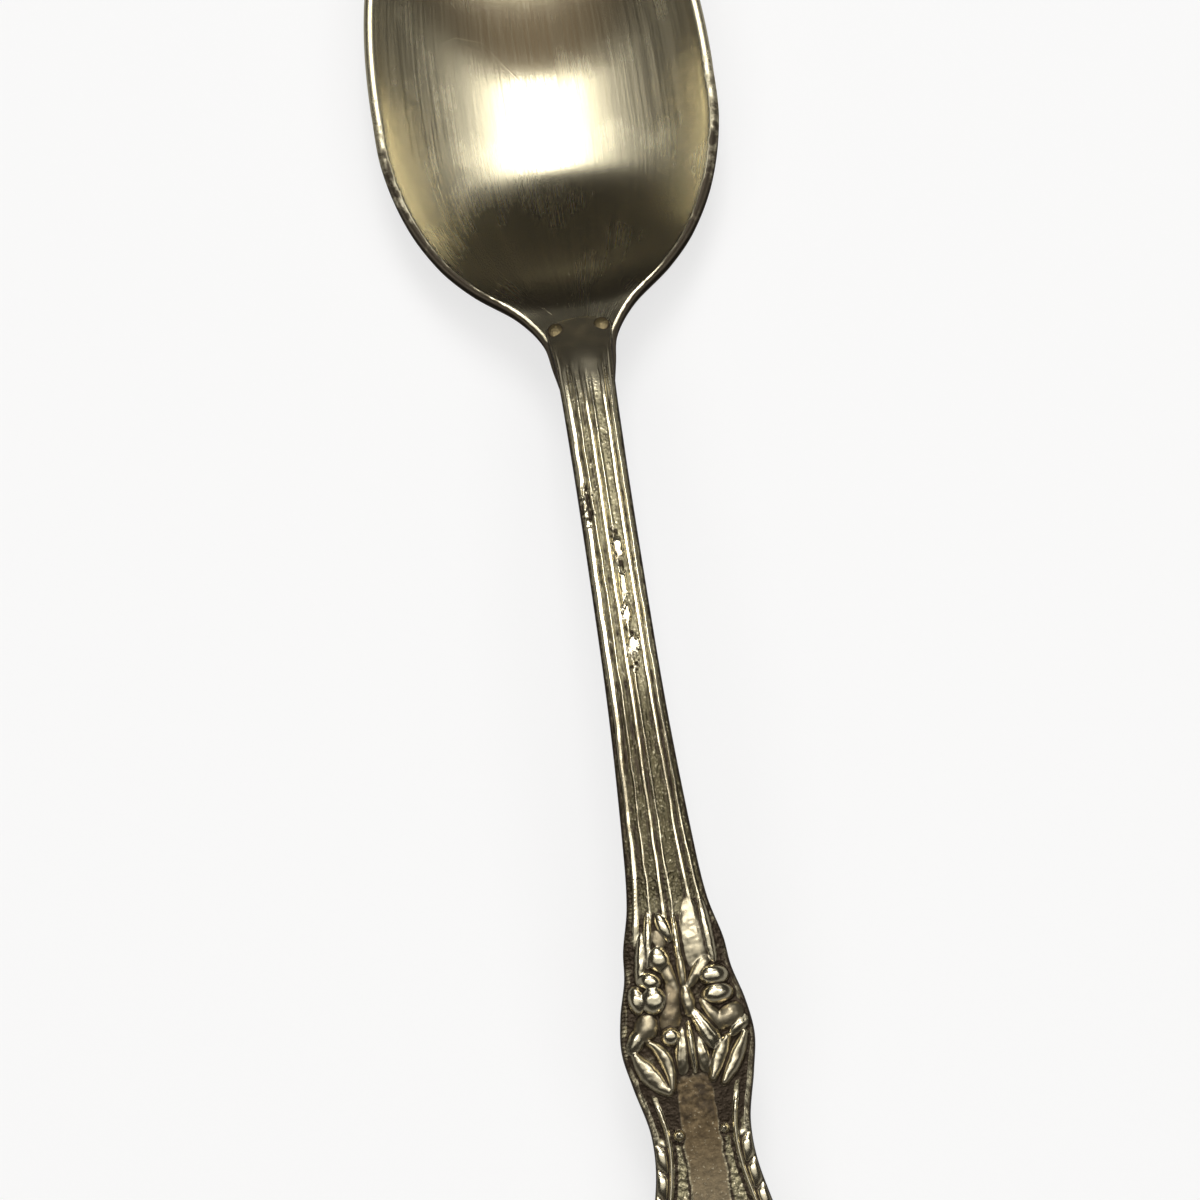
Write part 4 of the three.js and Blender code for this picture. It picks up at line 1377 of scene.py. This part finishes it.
    def flaws(self, x: Array, station: Array) -> tuple[Array, Array]:
        """Casting flaws: a low ripple everywhere, and crumbled places on the stem.

        Args:
            x: Places across.
            station: Stations.

        Returns:
            Heights of the ripple, and heights of the crumbled places.
        """
        near, far = self.noise_turn
        along, across = near * station + far * x, near * x - far * station
        size = self.ripple_size
        ripple = self.ripple * value_noise(across / size, along / size, Seed.RIPPLE)
        along, across, fine = along / self.hammer_size, across / self.hammer_size, self.fine_share
        small = self.fine_blows * value_noise(fine * across, fine * along, Seed.FINE_BLOWS)
        blows = value_noise(across, along, Seed.BLOWS) + small
        ripple = ripple + self.hammer * self.flowered(station) * blows
        crumbs = value_noise(x / self.crumb_size, station / self.crumb_size, Seed.CRUMBS)
        return ripple, np.sum([flaw.relief(x, station, crumbs) for flaw in FLAWS], axis=0)

    def flowered(self, station: Array) -> Array:
        """1 over the length of the flower and scrolls, and 0 past their ends."""
        begun = smoothstep(*self.flower_start, station)
        return begun * (1.0 - smoothstep(*self.flower_end, station))

    def stippled(self, x: Array, station: Array, relief: Array) -> Array:
        """The stipple of the strips beside the panel, the flower's ground and the lower stem.

        Args:
            x: Places across.
            station: Stations.
            relief: Relief at those places.

        Returns:
            Its height at each place.
        """
        sunk = smoothstep(*self.stipple_share, -self.panel(x, station) / self.panel_recess)
        strip = sunk * smoothstep(*self.stipple_start, -station)
        ground = 1.0 - smoothstep(0.0, self.stipple_ground, relief)
        open_ground = ground * smoothstep(0.0, self.panel_clear, station - self.panel_top)
        strip = np.maximum(strip, self.stipple_flower * self.flowered(station) * open_ground)
        lower = ground * smoothstep(*self.stipple_lower_start, -station)
        lower = lower * smoothstep(*self.lower_end, station)
        strip = np.maximum(strip, self.stipple_lower * lower)
        size = self.stipple_size
        return self.stipple * strip * value_noise(x / size, station / size, Seed.STIPPLE)

    def stations(self) -> tuple[Array, Array]:
        """Stations from the tongue's tip to the handle's end, closer where the relief is fine.

        Returns:
            The stations as a column, and whether each is over the bowl's tang.
        """
        lap = self.lap
        turn = (np.arange(self.tongue_stations) + 0.5) / self.tongue_stations
        reach = np.cos(turn * math.pi / 2.0) ** (2.0 / self.tongue_squareness)
        tip = lap.rivet_station + (lap.tongue_length - lap.rivet_station) * reach
        tongue = steps(lap.rivet_station, self.tang_end, self.tongue_step)
        lapped = np.r_[tip, tongue, self.tang_end]
        runs = (*self.stem_steps, (self.end_start, self.panel_spacing))
        starts = (self.tang_end - self.step_face, *(end for end, _ in self.stem_steps))
        stem = [steps(start, end, step) for start, (end, step) in zip(starts, runs)]
        share = np.sin(np.linspace(0.0, math.pi / 2.0, self.end_stations)) * self.end_cut
        free = np.concatenate([*stem, self.end_start - self.end_length * share])
        over_tang = np.r_[np.ones(len(lapped), dtype=bool), np.zeros(len(free), dtype=bool)]
        return np.r_[lapped, free][:, None], over_tang[:, None]

    def marks(self, x: Array, station: Array, relief: Array, crumbs: Array) -> dict[str, Array]:
        """What the finish reads of the relief.

        Args:
            x: Places across the top.
            station: Stations.
            relief: Relief at those places.
            crumbs: Heights of the crumbled places there.

        Returns:
            The marks of painted shade with tarnishing, worn places, grain, the lower stem's painted
            shade, and panel patina with some painted shade, round each ring, all from 0 to 1.
        """
        inset = self.half_width(station) - np.abs(x)
        reach = np.maximum(self.flank_least, self.flank_share * self.half_width(station))
        reach = np.where(station < self.lobe_start, self.flank_least, reach)
        flank = 1.0 - smoothstep(self.flank_start, reach, inset)
        hollow = self.hollows(x, station, relief)
        ground = 1.0 - smoothstep(*self.ground_rise, relief)
        below = smoothstep(-self.panel_top - self.panel_clear, -self.panel_top, -station)
        aside = np.abs(x) - self.panel_half_width - self.panel_wander(x, station)
        panelled = below * (1.0 - smoothstep(0.0, self.panel_step, aside)) * ground
        neck = smoothstep(*self.neck_smooth, station)
        upper = smoothstep(*self.upper_stem, station)
        lower = (1.0 - upper) * smoothstep(*self.lower_end, station)
        bright = smoothstep(*self.crumb_seen, crumbs)
        pits = smoothstep(*self.crumb_seen, -crumbs)
        rims = smoothstep(*self.crumb_rim, crumbs) * (1.0 - bright)
        # Depth of the painted shade on the flower's ground, deeper below the panel's top
        flowered = self.flower_ground_shade + self.flower_ground_shade_below * below
        recesses = (
            # Painted shade and tarnishing in the hollows, lighter on the upper stem
            hollow * (1.0 - self.upper_less_shade * upper),
            # Painted shade on the flanks, but not at the neck
            self.flank_shade * flank * (1.0 - neck),
            # Painted shade on the flower's ground between its shapes
            flowered * self.flowered(station) * ground,
            # Painted shade on the lower stem's ground
            self.lower_shade * lower * ground,
            # Painted shade in the pits, and painted shadow in a ring round each raised crumb
            self.pit_shade * pits,
            self.crumb_rim_shadow * rims,
        )
        shade = self.panel_shade * (1.0 - smoothstep(*self.panel_shaded, self.panel_top - station))
        recess = np.maximum.reduce(recesses) * (1.0 - panelled) + shade * panelled
        grain = np.maximum(ground, flank) * (1.0 - self.neck_polish * neck)
        grain = grain * (1.0 - self.panel_polish * panelled)
        # Painted light: the panel's patina thins towards the bottom, so that end shows lighter
        plain = panelled * (1.0 - self.panel_painted_light * smoothstep(*self.panel_painted_light_span, -station))
        plain = np.maximum(plain, self.patina(x, station))
        tops = {
            "recess": np.clip(recess, 0.0, 1.0) * (1.0 - bright),
            "worn": np.clip(-hollow, 0.0, 1.0),
            "grain": np.clip(grain, 0.0, 1.0) * (1.0 - bright),
            # Painted shade on the lower stem: dark on its ground, and brown over all of it through
            # the panel mark
            "olive": lower * ground,
            "panel": np.maximum(plain, self.lower_brown_shade * lower),
        }
        counts = (self.edge_points, self.back_points, self.edge_points)
        marks = {}
        for name, top in tops.items():
            edge, back = BACK_MARKS.get(name, (0.0, 0.0))
            row = np.repeat((edge, back, edge), counts)
            marks[name] = np.concatenate([top, np.tile(row, (len(station), 1))], axis=1)
        return marks

    def loft(self) -> Loft:
        """The handle's skin: the relief on top, a round edge, and a plain back at each station.

        Returns:
            The loft, with marks for painted shade with tarnishing, worn places, cast grain, painted
            shade on the lower stem's ground, and patina.
        """
        lap = self.lap
        station, over_tang = self.stations()
        half, top = self.half_width(station), self.top_line(station)
        flat = half - self.edge_round
        cover = top - lap.top(station) - lap.clearance
        thickness = np.where(over_tang, cover, self.thickness(station))
        crown = np.minimum(self.crown, (thickness - self.cover_at_tip / 2.0) / 2.0)
        square = 1.0 - smoothstep(0.0, self.square_run, -lap.tang_length - station)
        edge = self.edge_thickness + (thickness - crown - self.edge_thickness) * square

        u = np.linspace(1.0, -1.0, self.top_points)[None, :]
        x, fall = u * flat, crown * u * u
        relief = self.relief(x, station)
        ripple, crumbs = self.flaws(x, station)
        inner = smoothstep(0.0, self.rim_fade, half - np.abs(x))
        lumps = np.where(crumbs > 0.0, crumbs + fall, 0.0)
        level = np.maximum(relief, lumps * inner) + np.minimum(crumbs, 0.0) * inner
        level = level + self.stippled(x, station, relief) + self.ticks(x, station) + ripple * inner
        upper = points(x, station, top - fall + level)
        angle = np.linspace(0.0, math.pi, self.edge_points + 2)[None, 1:-1]
        side_x = flat + self.edge_round * np.sin(angle)
        side_z = top - crown - edge / 2.0 + edge / 2.0 * np.cos(angle)
        left, right = points(-side_x, station, side_z), points(side_x, station, side_z)
        v = np.linspace(-1.0, 1.0, self.back_points)[None, :]
        bulge = (thickness - crown - edge) * np.abs(v) ** self.back_round
        back = points(v * flat, station, top - thickness + bulge)
        rings = np.concatenate([upper, left, back, right[:, ::-1]], axis=1)
        rings[..., 2] = np.maximum(rings[..., 2], 0.0)
        ends = np.stack([rings[0].mean(0), rings[-1].mean(0)])
        ends[:, 1] = lap.tongue_length, -lap.handle_length
        rings[..., 1] += lap.neck_y
        ends[:, 1] += lap.neck_y
        marks = self.marks(x, station, relief, crumbs)
        return Loft("cast_handle", rings, ends, rings[..., :2], marks)

    def build(self, effects: Effects) -> bpy.types.Object:
        """Makes the handle in place of its CAD node and dresses it."""
        piece = self.loft().build()
        piece.data.materials.append(self.finish.material(effects))
        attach(piece, BODY)
        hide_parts("handle")
        return piece

    def cover_at_rivet(self) -> float:
        """Height of the tongue's top over the lap at the rivets, square to the lap."""
        lap = self.lap
        station = np.array([lap.rivet_station])
        top = float(self.top_line(station)[0]) - float(lap.top(lap.rivet_station))
        crown = min(self.crown, (top - lap.clearance - self.cover_at_tip / 2.0) / 2.0)
        share = lap.rivet_half_spacing / float(self.half_width(station)[0])
        return (top - crown * share * share) / lap.stretch


@dataclass(frozen=True)
class Rivet:
    """A rivet through tongue and sheet: a shank, a domed head above and a flush tail below."""

    side: Side
    lap: Lap
    cover: float
    finish: bpy.types.Material
    shank_radius: float = 0.45
    head_sink: float = 0.2
    dome_rise: float = 0.14
    tail_sink: float = 0.35
    tail_dome: float = 0.12
    profile_points: int = 14
    around_points: int = 48
    foot_start: float = 0.72
    foot_width: float = 0.28

    def loft(self) -> Loft:
        """The rivet's skin: a profile turned about an axis square to the lap.

        Returns:
            The loft, with a mark of painted shade and tarnishing round the foot of the head.
        """
        lap = self.lap
        radius = lap.rivet_head_radius
        swell = np.linspace(0.0, 1.0, self.profile_points)[:-1]
        reach, rise = radius * (1.0 - swell), 1.0 - (1.0 - swell) ** 2
        tail = np.stack([reach, -lap.sheet - self.tail_dome * rise], axis=-1)[::-1]
        head = np.stack([reach, self.cover + self.dome_rise * rise], axis=-1)
        shank = np.array(
            [
                [self.shank_radius, self.tail_sink - lap.sheet],
                [self.shank_radius, self.cover - self.head_sink],
                [radius, self.cover - self.head_sink],
            ]
        )
        profile = np.concatenate([tail, shank, head])
        turn = np.linspace(0.0, 2.0 * math.pi, self.around_points, endpoint=False)[None, :]
        out, up = profile[:, :1], profile[:, 1:] * np.ones_like(turn)
        lean = math.atan(lap.fall)
        local = points(out * np.cos(turn), out * np.sin(turn), up)
        foot, tip = -lap.sheet - self.tail_dome, self.cover + self.dome_rise
        poles = np.array([[0.0, 0.0, foot], [0.0, 0.0, tip]])
        tilt = np.array(Matrix.Rotation(-lean, 3, "X"))
        across = self.side.value * lap.rivet_half_spacing
        along = lap.rivet_station + lap.neck_y
        place = np.array([across, along, float(lap.top(lap.rivet_station))])
        rings, ends = local @ tilt.T + place, poles @ tilt.T + place
        # Painted shade and tarnishing, rising towards the rim of the head
        recess = np.clip((out / radius - self.foot_start) / self.foot_width, 0.0, 1.0)
        name = f"{self.side.name.lower()}_rivet"
        return Loft(name, rings, ends, rings[..., :2], {"recess": recess * np.ones_like(turn)})

    def build(self) -> bpy.types.Object:
        """Makes the rivet in place of its CAD node and dresses it."""
        piece = self.loft().build()
        piece.data.materials.append(self.finish)
        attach(piece, BODY)
        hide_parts(f"rivet_{self.side.name.lower()}")
        return piece


# Studio


@dataclass(frozen=True)
class Softbox:
    """A lamp that faces the spoon: size in metres, lean from the zenith towards the bowl, power."""

    name: str
    size: Spot
    lean: float
    power: float
    aside: float = 0.0
    distance: float = 1.0

    def hang(self) -> bpy.types.Object:
        """Hangs the lamp at its distance, to the right of the spoon's middle by its aside.

        Returns:
            The lamp's object.
        """
        lamp = bpy.data.lights.new(self.name, "AREA")
        lamp.shape = "RECTANGLE"
        lamp.size, lamp.size_y = self.size
        lamp.energy = self.power
        turn = math.radians(self.lean)
        place = Vector((self.aside, math.sin(turn), math.cos(turn))) * self.distance
        piece = linked(self.name, lamp)
        piece.location = place
        piece.rotation_euler = place.to_track_quat("Z", "Y").to_euler()
        return piece


@dataclass(frozen=True)
class Studio:
    """A pale floor, four softboxes, a dim room with a pale horizon, and the camera above."""

    floor_half: float = 3.0
    floor_drop: float = 0.0001
    floor_colour: Colour = (0.3, 0.3, 0.298)
    floor_roughness: float = 0.9
    floor_glow: float = 0.675
    floor_in_metal: float = 0.03
    lamps: tuple[Softbox, ...] = (
        Softbox("softbox", (0.3, 0.48), 26.0, 4.0, 0.055),
        Softbox("glow", (1.3, 0.5), 26.0, 1.3, 0.055),
        Softbox("fill", (1.5, 0.24), -11.0, 4.5),
        Softbox("low fill", (2.1, 0.45), -30.0, 2.0),
    )
    room_stops: tuple[tuple[float, Colour], ...] = (
        (0.0, (0.07, 0.065, 0.06)),
        (0.1, (0.05, 0.046, 0.042)),
        (0.25, (0.024, 0.022, 0.021)),
        (0.8, (0.02, 0.018, 0.016)),
        (1.0, (0.2, 0.155, 0.12)),
    )
    camera_target: tuple[float, float, float] = (-0.00178, -0.00149, 0.0162)
    camera_distance: float = 0.340
    camera_elevation: float = 80.0
    camera_roll: float = 8.65
    focal_pixels: float = 3889.0
    picture_pixels: float = 1200.0
    sensor_width: float = 36.0

    def floor(self) -> bpy.types.Object:
        """Makes the floor, pale to the camera and in the metal, which keeps the shadow."""
        half, drop = self.floor_half, -self.floor_drop
        mesh = bpy.data.meshes.new("floor")
        signs = (-1, -1), (1, -1), (1, 1), (-1, 1)
        corners = [(x * half, y * half, drop) for x, y in signs]
        mesh.from_pydata(corners, [], [(0, 1, 2, 3)])
        piece = linked("floor", mesh)
        material, nodes = new_material("pale floor")
        path = nodes.add("LightPath").outputs
        seen = nodes.math("MAXIMUM", path["Is Camera Ray"], path["Is Transmission Ray"])
        mirrored = nodes.times(path["Is Glossy Ray"], self.floor_in_metal)
        nodes.surface(
            {
                "Base Color": self.floor_colour,
                "Roughness": self.floor_roughness,
                "Specular IOR Level": 0.0,
                "Emission Color": (1.0, 1.0, 1.0),
                "Emission Strength": nodes.plus(nodes.times(seen, self.floor_glow), mirrored),
            }
        )
        mesh.materials.append(material)
        return piece

    def room(self) -> None:
        """Lights the world by height: a pale horizon, dim walls and a warm dim ceiling."""
        world = bpy.data.worlds.new("room")
        world.use_nodes = True
        nodes = Nodes(world.node_tree)
        direction = nodes.add("TexCoord").outputs["Generated"]
        height = nodes.add("SeparateXYZ", {0: direction}).outputs["Z"]
        ramp = nodes.add("ValToRGB", {"Fac": height})
        places = ramp.color_ramp.elements
        while len(places) < len(self.room_stops):
            places.new(0.5)
        for stop, (place, colour) in zip(places, self.room_stops):
            stop.position, stop.color = place, (*colour, 1.0)
        shade = nodes.add("Background", {"Color": ramp.outputs["Color"], "Strength": 1.0})
        nodes.add("OutputWorld", {"Surface": shade.outputs[0]})
        bpy.context.scene.world = world

    def camera(self) -> bpy.types.Object:
        """Sets the camera over the handle, turned about its own axis as the photograph is."""
        lift, roll = math.radians(self.camera_elevation), math.radians(self.camera_roll)
        back = Vector((0.0, -math.cos(lift), math.sin(lift)))
        level_up = Vector((0.0, math.sin(lift), math.cos(lift)))
        level_right = Vector((1.0, 0.0, 0.0))
        right = math.cos(roll) * level_right - math.sin(roll) * level_up
        up = math.sin(roll) * level_right + math.cos(roll) * level_up
        data = bpy.data.cameras.new("camera")
        data.sensor_width = self.sensor_width
        data.lens = self.focal_pixels / self.picture_pixels * self.sensor_width
        piece = linked("camera", data)
        place = Vector(self.camera_target) + back * self.camera_distance
        turned = Matrix((right, up, back)).transposed().to_4x4()
        piece.matrix_world = Matrix.Translation(place) @ turned
        bpy.context.scene.camera = piece
        return piece

    def build(self) -> None:
        """Makes the whole studio and sets the plain view transform."""
        self.floor()
        for lamp in self.lamps:
            lamp.hang()
        self.room()
        self.camera()
        bpy.context.scene.view_settings.view_transform = "Standard"


def main() -> None:
    """Builds the spoon's pieces and the studio."""
    logging.basicConfig(level=logging.INFO, format="%(name)s: %(message)s")
    effects = Effects(cast_grain_group(), shade_tarnish_group())
    lap = Lap()
    handle = Handle(lap)
    pieces = [Bowl(lap).build(effects), handle.build(effects)]
    rivet_brass = RivetBrass().material(effects)
    pieces += [Rivet(side, lap, handle.cover_at_rivet(), rivet_brass).build() for side in Side]
    for piece in pieces:
        LOG.info("%s: %d vertices", piece.name, len(piece.data.vertices))
    Studio().build()
    bpy.context.view_layer.update()


if __name__ == "__main__":
    main()
